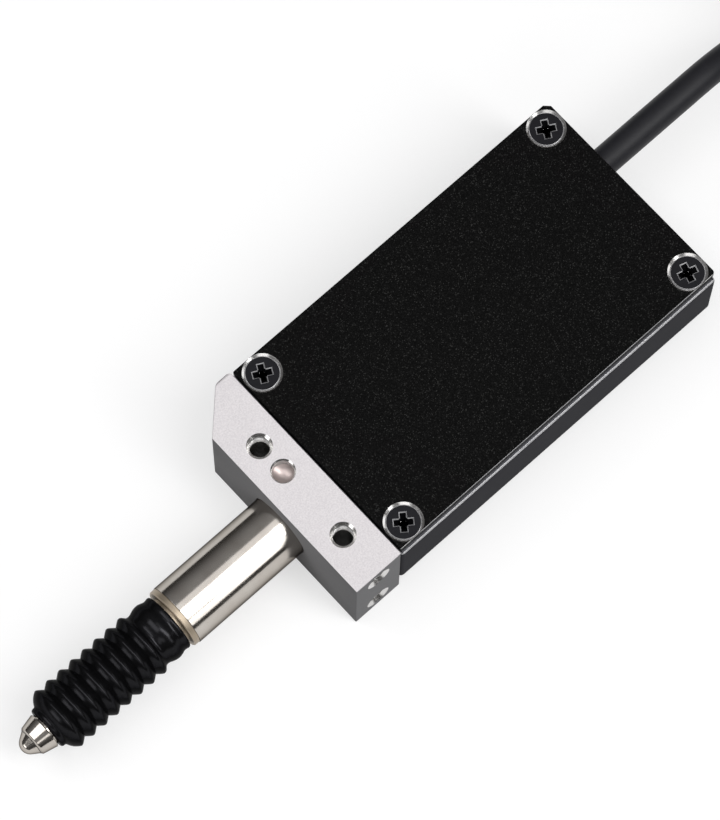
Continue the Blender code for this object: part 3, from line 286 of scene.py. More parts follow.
class Finish(Nodes):
    """A material for the sensor's pieces, built around one Principled shader."""

    def __init__(self, name, colour, roughness, metallic=0.0, **fixed):
        self.material = bpy.data.materials.new(name)
        super().__init__(self.material)
        self.shader = self.tree.nodes["Principled BSDF"]
        self.set("Base Color", (*colour, 1.0))
        self.set("Roughness", roughness)
        self.set("Metallic", metallic)
        for socket, value in fixed.items():
            self.set(socket.replace("_", " "), value)
        self.place = self.node("ShaderNodeTexCoord", output="Object")

    def set(self, socket, value):
        self.join(self.shader.inputs[socket], value)

    def grain(self, size, detail=2.0, stretch=(1.0, 1.0, 1.0), roughness=0.5):
        """Noise with grains of that size in metres, stretched along the axes."""
        scale = tuple(share / size for share in stretch)
        place = self.node("ShaderNodeVectorMath", {0: self.place, 1: scale}, operation="MULTIPLY")
        sockets = {"Vector": place, "Scale": 1.0, "Detail": detail, "Roughness": roughness}
        return self.node("ShaderNodeTexNoise", sockets)

    def specks(self, size, output="Color"):
        """Cells of that size in metres, each with its own random colour."""
        sockets = {"Vector": self.place, "Scale": 1.0 / size}
        return self.node("ShaderNodeTexVoronoi", sockets, output=output)

    def along(self, axis):
        """The place along one axis, in metres."""
        return self.node("ShaderNodeSeparateXYZ", {0: self.place}, output=axis)

    def mix(self, share, first, second):
        """The first colour where share is 0, and the second where it is 1."""
        first, second = (s if isinstance(s, Wire) else (*s, 1.0) for s in (first, second))
        sockets = {MIX_SHARE: share, MIX_FIRST: first, MIX_SECOND: second}
        return self.node("ShaderNodeMix", sockets, MIX_COLOUR, data_type="RGBA")

    def bump(self, height, distance, strength=1.0):
        """Raises the surface by height times distance in metres."""
        sockets = {"Height": height, "Distance": distance, "Strength": strength}
        self.set("Normal", self.node("ShaderNodeBump", sockets))


def polished_steel():
    """Ground and polished steel, drawn in rings about the stem's axis."""
    finish = Finish("polished_steel", (0.50, 0.46, 0.42), 0.13, 1.0, Specular_Tint=(0.15, 0.15, 0.15, 1.0))
    rings = finish.grain(0.12 * MM, 1.0, (1.0, 0.04, 0.04))
    smear = finish.grain(2.5 * MM, 2.0)
    finish.set("Roughness", 0.09 + rings * 0.05 + smear * 0.06)
    finish.set("Base Color", finish.mix(smear, (0.43, 0.39, 0.35), (0.57, 0.54, 0.50)))
    finish.bump(rings, 0.0012 * MM, 0.5)
    return finish.material


def champagne_metal():
    finish = Finish("champagne_metal", (0.60, 0.50, 0.36), 0.4, 0.75)
    rings = finish.grain(0.08 * MM, 1.0, (1.0, 0.05, 0.05))
    finish.set("Roughness", 0.34 + rings * 0.15)
    finish.set("Base Color", finish.mix(rings, (0.32, 0.26, 0.19), (0.42, 0.355, 0.275)))
    return finish.material


def bearing_bronze():
    finish = Finish("bearing_bronze", (0.55, 0.36, 0.18), 0.4, 1.0)
    pores = finish.grain(0.1 * MM, 3.0)
    finish.set("Base Color", finish.mix(pores, (0.42, 0.26, 0.12), (0.64, 0.44, 0.24)))
    finish.set("Roughness", 0.3 + pores * 0.25)
    finish.bump(pores, 0.01 * MM, 0.5)
    return finish.material


def black_rubber():
    """Glossy rubber. Partly metallic with a dark edge, so that its rim stays black over a white floor."""
    dark_edge = (0.1, 0.1, 0.1, 1.0)
    finish = Finish(
        "black_rubber", (0.03, 0.03, 0.032), 0.2, 0.8, Specular_IOR_Level=0.1, Specular_Tint=dark_edge
    )
    skin = finish.grain(0.35 * MM, 3.0)
    dust = finish.specks(0.16 * MM, "Distance")
    finish.set("Base Color", finish.mix(skin, (0.012, 0.012, 0.013), (0.022, 0.022, 0.024)))
    finish.set("Roughness", 0.14 + skin * 0.12)
    finish.bump(skin + dust * 0.3, 0.004 * MM, 0.4)
    return finish.material


def blasted_aluminium():
    finish = Finish("blasted_aluminium", (0.63, 0.62, 0.65), 0.5, Specular_IOR_Level=0.0)
    beads = finish.grain(0.17 * MM, 2.0, roughness=0.6)
    cloud = finish.grain(4.0 * MM, 2.0)
    shade = beads.between(0.2, 0.8) * 0.8 + cloud * 0.2
    finish.set("Base Color", finish.mix(shade, (0.62, 0.59, 0.605), (0.80, 0.77, 0.78)))
    finish.set("Roughness", 0.38 + beads * 0.22)
    finish.bump(beads, 0.012 * MM, 0.6)
    return finish.material


def shaded_side():
    """The block's upright faces, milled, with painted shade that makes them darker than its blasted top.
    """
    finish = Finish("shaded_side", (0.33, 0.328, 0.335), 0.5, Specular_IOR_Level=0.0)
    fine = finish.grain(0.25 * MM, 3.0)
    cloud = finish.grain(6.0 * MM, 2.0)
    shade = fine * 0.5 + cloud * 0.5
    finish.set("Base Color", finish.mix(shade, (0.28, 0.278, 0.285), (0.38, 0.378, 0.385)))
    finish.set("Roughness", 0.45 + fine * 0.15)
    finish.bump(fine, 0.006 * MM, 0.4)
    return finish.material


def bright_cut_metal():
    finish = Finish("bright_cut_metal", (0.64, 0.63, 0.62), 0.22, 1.0)
    lines = finish.grain(0.3 * MM, 1.0, (1.0, 1.0, 3.0))
    finish.set("Roughness", 0.14 + lines * 0.14)
    finish.set("Base Color", finish.mix(lines, (0.56, 0.55, 0.54), (0.72, 0.71, 0.70)))
    finish.bump(lines, 0.004 * MM, 0.5)
    return finish.material


# Bright metal for the hole walls near the top: painted light, lighter than the same walls deeper down.
def lit_wall_metal():
    finish = Finish("lit_wall_metal", (0.90, 0.89, 0.88), 0.25, 0.6)
    fine = finish.grain(0.15 * MM, 1.0)
    finish.set("Base Color", finish.mix(fine, (0.84, 0.83, 0.82), (0.95, 0.94, 0.93)))
    finish.set("Roughness", 0.18 + fine * 0.14)
    return finish.material


# Near-black metal for the deep threads and the tip's crease: painted shade where little light reaches.
def deep_shade_metal():
    finish = Finish("deep_shade_metal", (0.03, 0.028, 0.026), 0.35, 0.6)
    mottle = finish.grain(0.2 * MM, 2.0)
    finish.set("Roughness", 0.28 + mottle * 0.2)
    finish.set("Base Color", finish.mix(mottle, (0.016, 0.015, 0.014), (0.050, 0.046, 0.042)))
    finish.bump(mottle, 0.004 * MM, 0.5)
    return finish.material


def drilled_metal():
    finish = Finish("drilled_metal", (0.42, 0.36, 0.34), 0.36, 0.85)
    lines = finish.grain(0.08 * MM, 2.0, (1.0, 1.0, 2.0))
    finish.set("Roughness", 0.28 + lines * 0.16)
    finish.set("Base Color", finish.mix(lines, (0.35, 0.29, 0.275), (0.49, 0.42, 0.405)))
    finish.bump(lines, 0.005 * MM, 0.5)
    return finish.material


def case_satin():
    """Dark satin metal, with an edge tint that keeps the white floor out of its walls."""
    finish = Finish("case_satin", (0.05, 0.05, 0.055), 0.5, 1.0, Specular_Tint=(0.4, 0.4, 0.4, 1.0))
    fine = finish.grain(0.12 * MM, 3.0, roughness=0.6)
    cloud = finish.grain(5.0 * MM, 2.0)
    finish.set("Base Color", finish.mix(fine, (0.040, 0.040, 0.044), (0.066, 0.066, 0.072)))
    finish.set("Roughness", 0.42 + fine * 0.12 + cloud * 0.06)
    finish.bump(fine, 0.006 * MM, 0.5)
    return finish.material


def sparkle_black():
    finish = Finish("sparkle_black", (0.008, 0.008, 0.008), 0.55, Specular_IOR_Level=0.05)
    grain = finish.grain(0.13 * MM, 1.0)
    flakes = finish.specks(0.1 * MM)
    flake = finish.node("ShaderNodeSeparateColor", {0: flakes}, output="Red")
    bright = flake.between(0.9, 1.0)
    ground = finish.mix(grain.between(0.4, 0.75), (0.0010, 0.0010, 0.0010), (0.0065, 0.0065, 0.0064))
    finish.set("Base Color", finish.mix(bright, ground, (0.030, 0.030, 0.029)))
    finish.set("Roughness", 0.55 - bright * 0.15)
    finish.bump(grain, 0.008 * MM, 0.4)
    return finish.material


def black_oxide():
    finish = Finish("black_oxide", (0.012, 0.012, 0.015), 0.33, 0.3, Specular_IOR_Level=0.2)
    fine = finish.grain(0.1 * MM, 3.0)
    finish.set("Base Color", finish.mix(fine, (0.004, 0.004, 0.0055), (0.015, 0.015, 0.0185)))
    finish.set("Roughness", 0.27 + fine * 0.18)
    finish.bump(fine, 0.004 * MM, 0.5)
    return finish.material


def shadowed_recess():
    finish = Finish("shadowed_recess", (0.004, 0.004, 0.005), 0.5, Specular_IOR_Level=0.05)
    fine = finish.grain(0.08 * MM, 2.0)
    finish.set("Base Color", finish.mix(fine, (0.001, 0.001, 0.0015), (0.006, 0.006, 0.007)))
    finish.set("Roughness", 0.3 + fine * 0.2)
    finish.bump(fine, 0.004 * MM, 0.5)
    return finish.material


# Bright metal for thin lines on rounded edges: painted highlights.
def edge_highlight_metal():
    finish = Finish("edge_highlight_metal", (0.30, 0.30, 0.31), 0.4, 0.7)
    patches = finish.grain(1.5 * MM, 2.0)
    finish.set("Base Color", finish.mix(patches, (0.32, 0.32, 0.33), (0.66, 0.66, 0.67)))
    finish.set("Roughness", 0.34 + patches * 0.12)
    return finish.material


def gasket_foam():
    finish = Finish("gasket_foam", (0.010, 0.010, 0.010), 0.8)
    cells = finish.grain(0.1 * MM, 2.0)
    finish.set("Base Color", finish.mix(cells, (0.006, 0.006, 0.006), (0.016, 0.016, 0.016)))
    finish.bump(cells, 0.01 * MM, 0.5)
    return finish.material


def cable_jacket():
    finish = Finish("cable_jacket", (0.013, 0.013, 0.016), 0.44, Specular_IOR_Level=0.24)
    skin = finish.grain(0.5 * MM, 3.0)
    rub = finish.grain(6.0 * MM, 2.0)
    shade = skin * 0.6 + rub * 0.4
    finish.set("Base Color", finish.mix(shade, (0.009, 0.009, 0.011), (0.018, 0.018, 0.022)))
    finish.set("Roughness", 0.38 + skin * 0.14)
    finish.bump(skin, 0.008 * MM, 0.5)
    return finish.material


def nickel_plate():
    finish = Finish("nickel_plate", (0.62, 0.60, 0.56), 0.2, 1.0)
    fine = finish.grain(0.2 * MM, 2.0, (1.0, 0.1, 1.0))
    finish.set("Roughness", 0.16 + fine * 0.14)
    finish.set("Base Color", finish.mix(fine, (0.56, 0.54, 0.50), (0.68, 0.66, 0.62)))
    finish.bump(fine, 0.002 * MM, 0.5)
    return finish.material


def gold_contact():
    finish = Finish("gold_contact", (0.83, 0.62, 0.26), 0.22, 1.0)
    fine = finish.grain(0.15 * MM, 2.0)
    finish.set("Roughness", 0.18 + fine * 0.12)
    finish.set("Base Color", finish.mix(fine, (0.78, 0.56, 0.22), (0.87, 0.68, 0.32)))
    return finish.material


def spring_wire():
    finish = Finish("spring_wire", (0.5, 0.5, 0.5), 0.25, 1.0)
    fine = finish.grain(0.1 * MM, 2.0)
    finish.set("Roughness", 0.2 + fine * 0.15)
    finish.set("Base Color", finish.mix(fine, (0.42, 0.42, 0.43), (0.58, 0.58, 0.58)))
    return finish.material


def ruled_glass():
    finish = Finish("ruled_glass", (0.55, 0.62, 0.6), 0.06, Coat_Weight=0.4)
    pitch = 0.2 * MM
    half_track = 1.2 * MM
    stripe = finish.node("ShaderNodeMath", {0: finish.along("X") * (1 / pitch)}, operation="FRACT")
    off_track = finish.node("ShaderNodeMath", {0: finish.along("Z") - STEM_Z}, operation="ABSOLUTE")
    chrome = (stripe > 0.5) * (1.0 - (off_track > half_track))
    finish.set("Base Color", finish.mix(chrome, (0.55, 0.63, 0.60), (0.30, 0.30, 0.30)))
    finish.set("Metallic", chrome * 0.9)
    return finish.material


def circuit_green():
    finish = Finish("circuit_green", (0.02, 0.12, 0.05), 0.4, Coat_Weight=0.3)
    sockets = {"Vector": finish.place, "Scale": 700.0, "Distortion": 4.0, "Detail": 1.0}
    lanes = finish.node("ShaderNodeTexWave", sockets, WAVE_HEIGHT)
    fine = finish.grain(0.3 * MM, 2.0)
    copper = lanes.between(0.62, 0.7)
    finish.set("Base Color", finish.mix(copper, (0.015, 0.10, 0.04), (0.05, 0.20, 0.08)))
    finish.set("Roughness", 0.3 + fine * 0.2)
    finish.bump(copper, 0.01 * MM, 0.6)
    return finish.material


def woven_strap():
    finish = Finish("woven_strap", (0.03, 0.03, 0.032), 0.85)
    sockets = {"Vector": finish.place, "Scale": 900.0, "Distortion": 0.6}
    weave = finish.node("ShaderNodeTexWave", sockets, WAVE_HEIGHT)
    rib = finish.grain(0.3 * MM, 2.0)
    shade = weave * 0.6 + rib * 0.4
    finish.set("Base Color", finish.mix(shade, (0.018, 0.018, 0.020), (0.05, 0.05, 0.054)))
    finish.bump(weave + rib, 0.04 * MM, 0.6)
    return finish.material


def moulded(name, dark, light, roughness):
    """A moulded plastic with a fine skin."""
    finish = Finish(name, light, roughness)
    skin = finish.grain(0.18 * MM, 3.0)
    finish.set("Base Color", finish.mix(skin, dark, light))
    finish.set("Roughness", (roughness - 0.08) + skin * 0.16)
    finish.bump(skin, 0.005 * MM, 0.5)
    return finish.material


steel = polished_steel()
champagne = champagne_metal()
bronze = bearing_bronze()
rubber = black_rubber()
aluminium = blasted_aluminium()
painted_side_shade = shaded_side()
bright_cut = bright_cut_metal()
painted_wall_light = lit_wall_metal()
painted_deep_shade = deep_shade_metal()
drilled = drilled_metal()
case_finish = case_satin()
cover_finish = sparkle_black()
oxide = black_oxide()
painted_recess_shade = shadowed_recess()
painted_edge_highlight = edge_highlight_metal()
gasket_finish = gasket_foam()
jacket = cable_jacket()
nickel = nickel_plate()
gold = gold_contact()
wire_steel = spring_wire()
glass = ruled_glass()
board_green = circuit_green()
woven = woven_strap()
chip_plastic = moulded("chip_plastic", (0.012, 0.012, 0.013), (0.026, 0.026, 0.028), 0.5)
head_plastic = moulded("head_plastic", (0.016, 0.016, 0.018), (0.032, 0.032, 0.034), 0.45)
header_plastic = moulded("header_plastic", (0.62, 0.58, 0.48), (0.78, 0.74, 0.64), 0.45)
lamp_epoxy = moulded("lamp_epoxy", (0.60, 0.56, 0.44), (0.74, 0.70, 0.60), 0.2)

sensor_cable.data.materials.append(jacket)

# Tools that make and finish pieces


def one_piece(name):
    """Names the active object's mesh and puts its place into the mesh."""
    piece = bpy.context.object
    bpy.ops.object.transform_apply(location=True, rotation=True, scale=True)
    piece.name = name
    piece.data.name = name
    return piece


def clear():
    bpy.ops.object.select_all(action="DESELECT")


def pick(piece):
    clear()
    piece.select_set(True)
    bpy.context.view_layer.objects.active = piece


def slab(name, low, high):
    """A cube primitive between two corners."""
    clear()
    middle = [(a + b) / 2 for a, b in zip(low, high)]
    size = [b - a for a, b in zip(low, high)]
    bpy.ops.mesh.primitive_cube_add(size=1.0, location=middle, scale=size)
    return one_piece(name)


AXES = {"X": (1, 0, 0), "Y": (0, 1, 0), "Z": (0, 0, 1)}
OUTWARD = {"X": (0, 0, 1), "Y": (0, 0, 1), "Z": (1, 0, 0)}


def lathe(name, outline, centre, axis="X", sides=96, ring=False):
    """Turns an outline of (along, radius) about the axis through centre. A ring's outline is closed."""
    clear()
    way = Vector(AXES[axis])
    out = Vector(OUTWARD[axis])
    spots = [Vector(centre) + way * along + out * radius for along, radius in outline]
    bpy.ops.mesh.primitive_plane_add(size=MM, location=spots[0])
    piece = one_piece(name)
    bpy.ops.object.mode_set(mode="EDIT")
    bpy.ops.mesh.select_mode(type="VERT")
    bpy.ops.mesh.select_all(action="SELECT")
    bpy.ops.mesh.merge(type="CENTER")
    for here, there in zip(spots, spots[1:]):
        bpy.ops.mesh.extrude_vertices_move(TRANSFORM_OT_translate={"value": there - here})
    if ring:
        back = spots[0] - spots[-1]
        bpy.ops.mesh.extrude_vertices_move(TRANSFORM_OT_translate={"value": back})
    bpy.ops.mesh.select_all(action="SELECT")
    bpy.ops.mesh.spin(steps=sides, angle=2 * math.pi, center=centre, axis=way)
    bpy.ops.mesh.select_all(action="SELECT")
    bpy.ops.mesh.remove_doubles(threshold=0.0005 * MM)
    bpy.ops.mesh.normals_make_consistent(inside=False)
    bpy.ops.object.mode_set(mode="OBJECT")
    return piece


def choose(piece, kind, test):
    """In edit mode, selects the faces or edges that pass the test."""
    bpy.ops.object.mode_set(mode="EDIT")
    bpy.ops.mesh.select_mode(type=kind)
    bpy.ops.mesh.select_all(action="DESELECT")
    bpy.ops.object.mode_set(mode="OBJECT")
    parts = piece.data.polygons if kind == "FACE" else piece.data.edges
    for part in parts:
        part.select = test(part)
    bpy.ops.object.mode_set(mode="EDIT")


def ends(piece, edge):
    """The places of an edge's two ends."""
    return [piece.data.vertices[i].co for i in edge.vertices]


def bevel_edges(piece, offset, segments, test):
    """Bevels the edges whose two ends pass the test."""
    choose(piece, "EDGE", lambda edge: all(test(end) for end in ends(piece, edge)))
    bpy.ops.mesh.bevel(offset=offset, segments=segments, affect="EDGES")
    bpy.ops.object.mode_set(mode="OBJECT")


def carve(piece, tool, operation="DIFFERENCE"):
    """Takes the tool's shape out of the piece, or adds it, and removes the tool."""
    pick(piece)
    change = piece.modifiers.new("Cut", "BOOLEAN")
    change.operation = operation
    change.object = tool
    change.solver = "EXACT"
    bpy.ops.object.modifier_apply(modifier=change.name)
    bpy.data.objects.remove(tool, do_unlink=True)


def soften(piece, width, segments=2, angle=35):
    """Rounds the piece's sharp edges."""
    pick(piece)
    change = piece.modifiers.new("Edges", "BEVEL")
    change.width = width
    change.segments = segments
    change.limit_method = "ANGLE"
    change.angle_limit = math.radians(angle)
    change.use_clamp_overlap = True
    bpy.ops.object.modifier_apply(modifier=change.name)


def finish_shade(piece, angle=40):
    """Smooth shading, with flat faces kept flat."""
    pick(piece)
    bpy.ops.object.shade_smooth_by_angle(angle=math.radians(angle))
    change = piece.modifiers.new("Normals", "WEIGHTED_NORMAL")
    change.keep_sharp = True
    bpy.ops.object.modifier_apply(modifier=change.name)


def put(piece, body, material, *nodes):
    """Gives a finished piece its body, its material and the nodes that it stands for."""
    piece.data.materials.clear()
    piece.data.materials.append(material)
    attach(piece, body)
    if nodes:
        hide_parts(*nodes)
    return piece


def paint(piece, material, test):
    """Gives the faces that pass the test another material."""
    piece.data.materials.append(material)
    slot = len(piece.data.materials) - 1
    for face in piece.data.polygons:
        if test(face):
            face.material_index = slot


def arc(centre, radius, start, end, count):
    """Points (along, radius) on an arc, by angles in degrees from the axis direction."""
    turns = [math.radians(start + (end - start) * i / count) for i in range(count + 1)]
    return [(centre[0] + radius * math.cos(a), centre[1] + radius * math.sin(a)) for a in turns]


def rod(low, high, radius):
    """The outline of a plain round rod."""
    return [(low, 0.0), (low, radius), (high, radius), (high, 0.0)]


# Mounting block

CORNER_CUT = 4.7 * MM
BLOCK_ROUND = 0.5 * MM
BLOCK_BORE = 4.04 * MM
HOLES_Y = (7.025 * MM, -7.025 * MM)
HOLE = 1.22 * MM
CHAMFER = 0.32 * MM
THREAD = 0.5 * MM
THREAD_INSET = 0.6 * MM
GROOVE = 0.2 * MM
TAPS_Z = (STEM_Z + 4.05 * MM, STEM_Z - 4.05 * MM)
TAP_CHAMFER = 0.4 * MM
TAP_THREAD = (0.5 * MM, 3.0 * MM)
TAP_WALL = 3.2 * MM
TAPS_REACH_Y = -9 * MM
BLIND_Y = 3.05 * MM
BLIND = 1.3 * MM
BLIND_CHAMFER = 0.17 * MM
BLIND_WALL = 1.55 * MM
BLIND_DEEP = 2.35 * MM
BLIND_LOW_Z = 9 * MM
HOLE_ZONE = 1.75 * MM
BLIND_ZONE = 1.6 * MM
BRIGHT_DEPTH = 2.2 * MM
DRILLED_DEPTH = 0.9 * MM
EDGE_DEPTH = 0.45 * MM

block = slab("mounting_block_v", (BLOCK_FRONT, BLOCK_RIGHT, 0.0), (BLOCK_BACK, BLOCK_LEFT, BLOCK_TOP))
bevel_edges(block, CORNER_CUT, 1, lambda end: end.x < 0 < end.y)
bevel_edges(block, BLOCK_ROUND, 4, lambda end: end.x > 0 and end.y > 0)
carve(block, lathe("tool", rod(BLOCK_FRONT - MM, BLOCK_BACK + MM, BLOCK_BORE), (0, 0, STEM_Z), "X", 96))


def thread(low, high):
    """The outline of a threaded bore between two heights."""
    form = ((0.0, HOLE), (0.3, HOLE + GROOVE), (0.5, HOLE + GROOVE), (0.8, HOLE))
    starts = [low + THREAD * i for i in range(max(1, int((high - low) / THREAD)))]
    return [(start + share * THREAD, radius) for start in starts for share, radius in form]


for y in HOLES_Y:
    outline = [(-MM, 0.0), (-MM, HOLE + CHAMFER + MM), (CHAMFER, HOLE)]
    outline += thread(THREAD_INSET, BLOCK_TOP - THREAD_INSET)
    outline += [(BLOCK_TOP - CHAMFER, HOLE), (BLOCK_TOP + MM, HOLE + CHAMFER + MM), (BLOCK_TOP + MM, 0.0)]
    carve(block, lathe("tool", outline, (0, y, 0), "Z", 48))
blind = [
    (BLOCK_TOP - BLIND_DEEP, 0.0),
    (BLOCK_TOP - BLIND_WALL, BLIND),
    (BLOCK_TOP - BLIND_CHAMFER, BLIND),
    (BLOCK_TOP + MM, BLIND + BLIND_CHAMFER + MM),
    (BLOCK_TOP + MM, 0.0),
]
carve(block, lathe("tool", blind, (0, BLIND_Y, 0), "Z", 48))
for z in TAPS_Z:
    outline = [(BLOCK_RIGHT - MM, 0.0), (BLOCK_RIGHT - MM, HOLE + TAP_CHAMFER + MM)]
    outline.append((BLOCK_RIGHT + TAP_CHAMFER, HOLE))
    outline += thread(BLOCK_RIGHT + TAP_THREAD[0], BLOCK_RIGHT + TAP_THREAD[1])
    outline += [(BLOCK_RIGHT + TAP_WALL, HOLE), (BLOCK_RIGHT + TAP_WALL + 0.7 * HOLE, 0.0)]
    carve(block, lathe("tool", outline, (0, 0, z), "Y", 48))
soften(block, 0.1 * MM, 2, 60)
finish_shade(block)
put(block, BODY, aluminium, "mounting_block")


def hole_depth(face):
    """How deep a face lies in one of the block's threaded holes, or -1 outside them."""
    x, y, z = face.center
    for hole_y in HOLES_Y:
        if math.hypot(x, y - hole_y) < HOLE_ZONE and abs(face.normal.z) < 0.99:
            return min(BLOCK_TOP - z, z)
    for hole_z in TAPS_Z:
        if math.hypot(x, z - hole_z) < HOLE_ZONE and y < TAPS_REACH_Y and abs(face.normal.y) < 0.99:
            return y - BLOCK_RIGHT
    return -1.0


def blind_depth(face):
    """How deep a face lies in the block's blind hole, or -1 outside it."""
    x, y, z = face.center
    inside = math.hypot(x, y - BLIND_Y) < BLIND_ZONE and abs(face.normal.z) < 0.99
    return BLOCK_TOP - z if inside and z > BLIND_LOW_Z else -1.0


def on_block_side(face):
    """True on the block's upright faces, outside the holes."""
    return abs(face.normal.z) < 0.4 and hole_depth(face) < 0 and blind_depth(face) < 0


def down_to(face, hole_limit, blind_limit):
    """True in the threaded holes and the blind hole, down to a depth in each."""
    return 0 <= hole_depth(face) < hole_limit or 0 <= blind_depth(face) < blind_limit


# The block's upright faces are painted darker than its top: painted shade.
paint(block, painted_side_shade, on_block_side)
# The hole walls near the top are painted bright: painted light.
paint(block, painted_wall_light, lambda face: down_to(face, BRIGHT_DEPTH, DRILLED_DEPTH))
paint(block, bright_cut, lambda face: down_to(face, EDGE_DEPTH, EDGE_DEPTH))
# Deeper in the threaded holes the walls are painted near-black: painted shade.
paint(block, painted_deep_shade, lambda face: hole_depth(face) >= BRIGHT_DEPTH)
paint(block, drilled, lambda face: blind_depth(face) >= DRILLED_DEPTH)

# Stem, bushes and tip

stem = lathe(
    "stem_v",
    [
        (STEM_FRONT, 3.98 * MM),
        (STEM_FRONT + 0.03 * MM, 4.0 * MM),
        (BLOCK_BACK, 4.0 * MM),
        (BLOCK_BACK, 3.3 * MM),
        (6.375 * MM, 3.3 * MM),
        (6.375 * MM, 2.7 * MM),
        (STEM_FRONT, 2.7 * MM),
    ],
    (0, 0, STEM_Z),
    sides=128,
    ring=True,
)
finish_shade(stem)
put(stem, BODY, steel, "stem")

rim_back = STEM_FRONT - 0.02 * MM
rim_front = -19.77 * MM
front_bush = lathe(
    "front_bush_v",
    [
        (-22.575 * MM, 3.0 * MM),
        (rim_front, 3.0 * MM),
        (rim_front, 3.82 * MM),
        (rim_front + 0.1 * MM, 3.92 * MM),
        (rim_back - 0.03 * MM, 3.93 * MM),
        (rim_back, 3.9 * MM),
        (rim_back, 2.5 * MM),
        (-13.525 * MM, 2.5 * MM),
        (-13.525 * MM, 1.7 * MM),
        (-22.575 * MM, 1.7 * MM),
    ],
    (0, 0, STEM_Z),
    sides=128,
    ring=True,
)
finish_shade(front_bush)
put(front_bush, BODY, champagne, "front_bush")


def radius_from_stem(face):
    """How far the face is from the axis of the stem."""
    return math.hypot(face.center.y, face.center.z - STEM_Z)


BALL_X = -41.015 * MM
TIP_BASE = -38.865 * MM
SHOULDER = -40.665 * MM
CREASE = (1.62 * MM, 1.72 * MM)
tip_outline = arc((BALL_X, 0.0), 1.3 * MM, 180, 122, 20)
tip_outline += [
    (-40.94 * MM, CREASE[0]),
    (-40.86 * MM, CREASE[1]),
    (SHOULDER - 0.05 * MM, 1.88 * MM),
    (SHOULDER, 1.91 * MM),
    (TIP_BASE - 0.12 * MM, 2.3 * MM),
    (TIP_BASE - 0.04 * MM, 2.27 * MM),
    (TIP_BASE, 2.2 * MM),
    (TIP_BASE, 1.9 * MM),
    (-36.465 * MM, 1.9 * MM),
    (-36.465 * MM, 0.75 * MM),
    (-33.465 * MM, 0.75 * MM),
    (-33.465 * MM, 0.0),
]
tip = lathe("contact_tip_v", tip_outline, (0, 0, STEM_Z), sides=96)
finish_shade(tip, 10)
put(tip, MOVING, steel, "contact_tip")
# The crease between the ball and the cone is painted near-black: painted shade.
paint(
    tip,
    painted_deep_shade,
    lambda face: CREASE[0] < radius_from_stem(face) < CREASE[1] and face.center.x < SHOULDER,
)

# Bellows

CREST = 4.06 * MM
ROOT = 3.46 * MM
PITCH = 1.78 * MM
FOLDS = 8
FIRST = -36.815 * MM
LAST = FIRST + PITCH * (FOLDS - 1)
MOUTH = -38.665 * MM
CUFF_END = -20.175 * MM
LEAD_START = 0.04
FOLD_POINTS = 20
BORE_POINTS = 8
CREST_ROUND = 0.24
BELLOWS_WALL = 0.4 * MM
outline = [
    (MOUTH, 2.38 * MM),
    (MOUTH + 0.06 * MM, 2.58 * MM),
    (MOUTH + 0.2 * MM, 2.69 * MM),
    (MOUTH + 0.42 * MM, 2.71 * MM),
    (MOUTH + 0.56 * MM, 2.74 * MM),
    (MOUTH + 0.66 * MM, 2.86 * MM),
    (MOUTH + 0.76 * MM, 3.06 * MM),
    (MOUTH + 0.9 * MM, 3.28 * MM),
    (MOUTH + 1.06 * MM, 3.48 * MM),
    (MOUTH + 1.24 * MM, 3.67 * MM),
    (MOUTH + 1.44 * MM, 3.83 * MM),
    (MOUTH + 1.64 * MM, 3.97 * MM),
]


def fold(phase):
    """The height of a fold, 1 at its rounded crest and 0 in the sharp root between two folds."""
    away = 2 * abs(phase - round(phase))
    whole = math.hypot(1.0, CREST_ROUND) - CREST_ROUND
    return 1 - (math.hypot(away, CREST_ROUND) - CREST_ROUND) / whole


for i in range(FOLDS * FOLD_POINTS):
    phase = i / FOLD_POINTS - LEAD_START
    if phase > FOLDS - 1:
        break
    outline.append((FIRST + PITCH * phase, ROOT + (CREST - ROOT) * fold(phase)))
cuff = CUFF_END - LAST
for share, radius in (
    (0.03, 4.04),
    (0.07, 3.93),
    (0.11, 3.75),
    (0.15, 3.58),
    (0.19, 3.5),
    (0.24, 3.48),
    (0.3, 3.52),
    (0.38, 3.66),
    (0.46, 3.77),
    (0.54, 3.82),
    (0.62, 3.82),
    (0.7, 3.74),
    (0.77, 3.63),
    (0.82, 3.58),
    (0.87, 3.6),
    (0.93, 3.66),
    (0.98, 3.64),
    (1.0, 3.55),
):
    outline.append((LAST + share * cuff, radius * MM))
bore = [(CUFF_END, 3.2 * MM), (-22.775 * MM, 3.2 * MM), (-22.775 * MM, 2.9 * MM)]
for i in range((FOLDS - 1) * BORE_POINTS - 2):
    phase = FOLDS - 1 - 0.25 - i / BORE_POINTS
    bore.append((FIRST + PITCH * phase, ROOT - BELLOWS_WALL + (CREST - ROOT) * fold(phase)))
bore += [(FIRST - 0.5 * MM, 2.7 * MM), (MOUTH + 0.7 * MM, 2.1 * MM), (MOUTH, 2.1 * MM)]
bellows = lathe("bellows_v", outline + bore, (0, 0, STEM_Z), sides=96, ring=True)
finish_shade(bellows, 60)
put(bellows, BODY, rubber, "bellows")
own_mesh(bellows)

# Case with its screw bosses

WALL = 1.2 * MM
CASE_MIDDLE_X = 28.075 * MM
CASE_MIDDLE_Y = 1.425 * MM
SCREWS = [
    (6.075 * MM, 13.3 * MM, 62),
    (6.075 * MM, -10.45 * MM, -37),
    (50.275 * MM, -10.45 * MM, 73),
    (50.275 * MM, 13.3 * MM, 60),
]


def at_case_corner(end):
    """True at the case's outer corners, and not at those of its hollow."""
    return abs(end.x - CASE_MIDDLE_X) > 24 * MM and abs(end.y - CASE_MIDDLE_Y) > 14 * MM


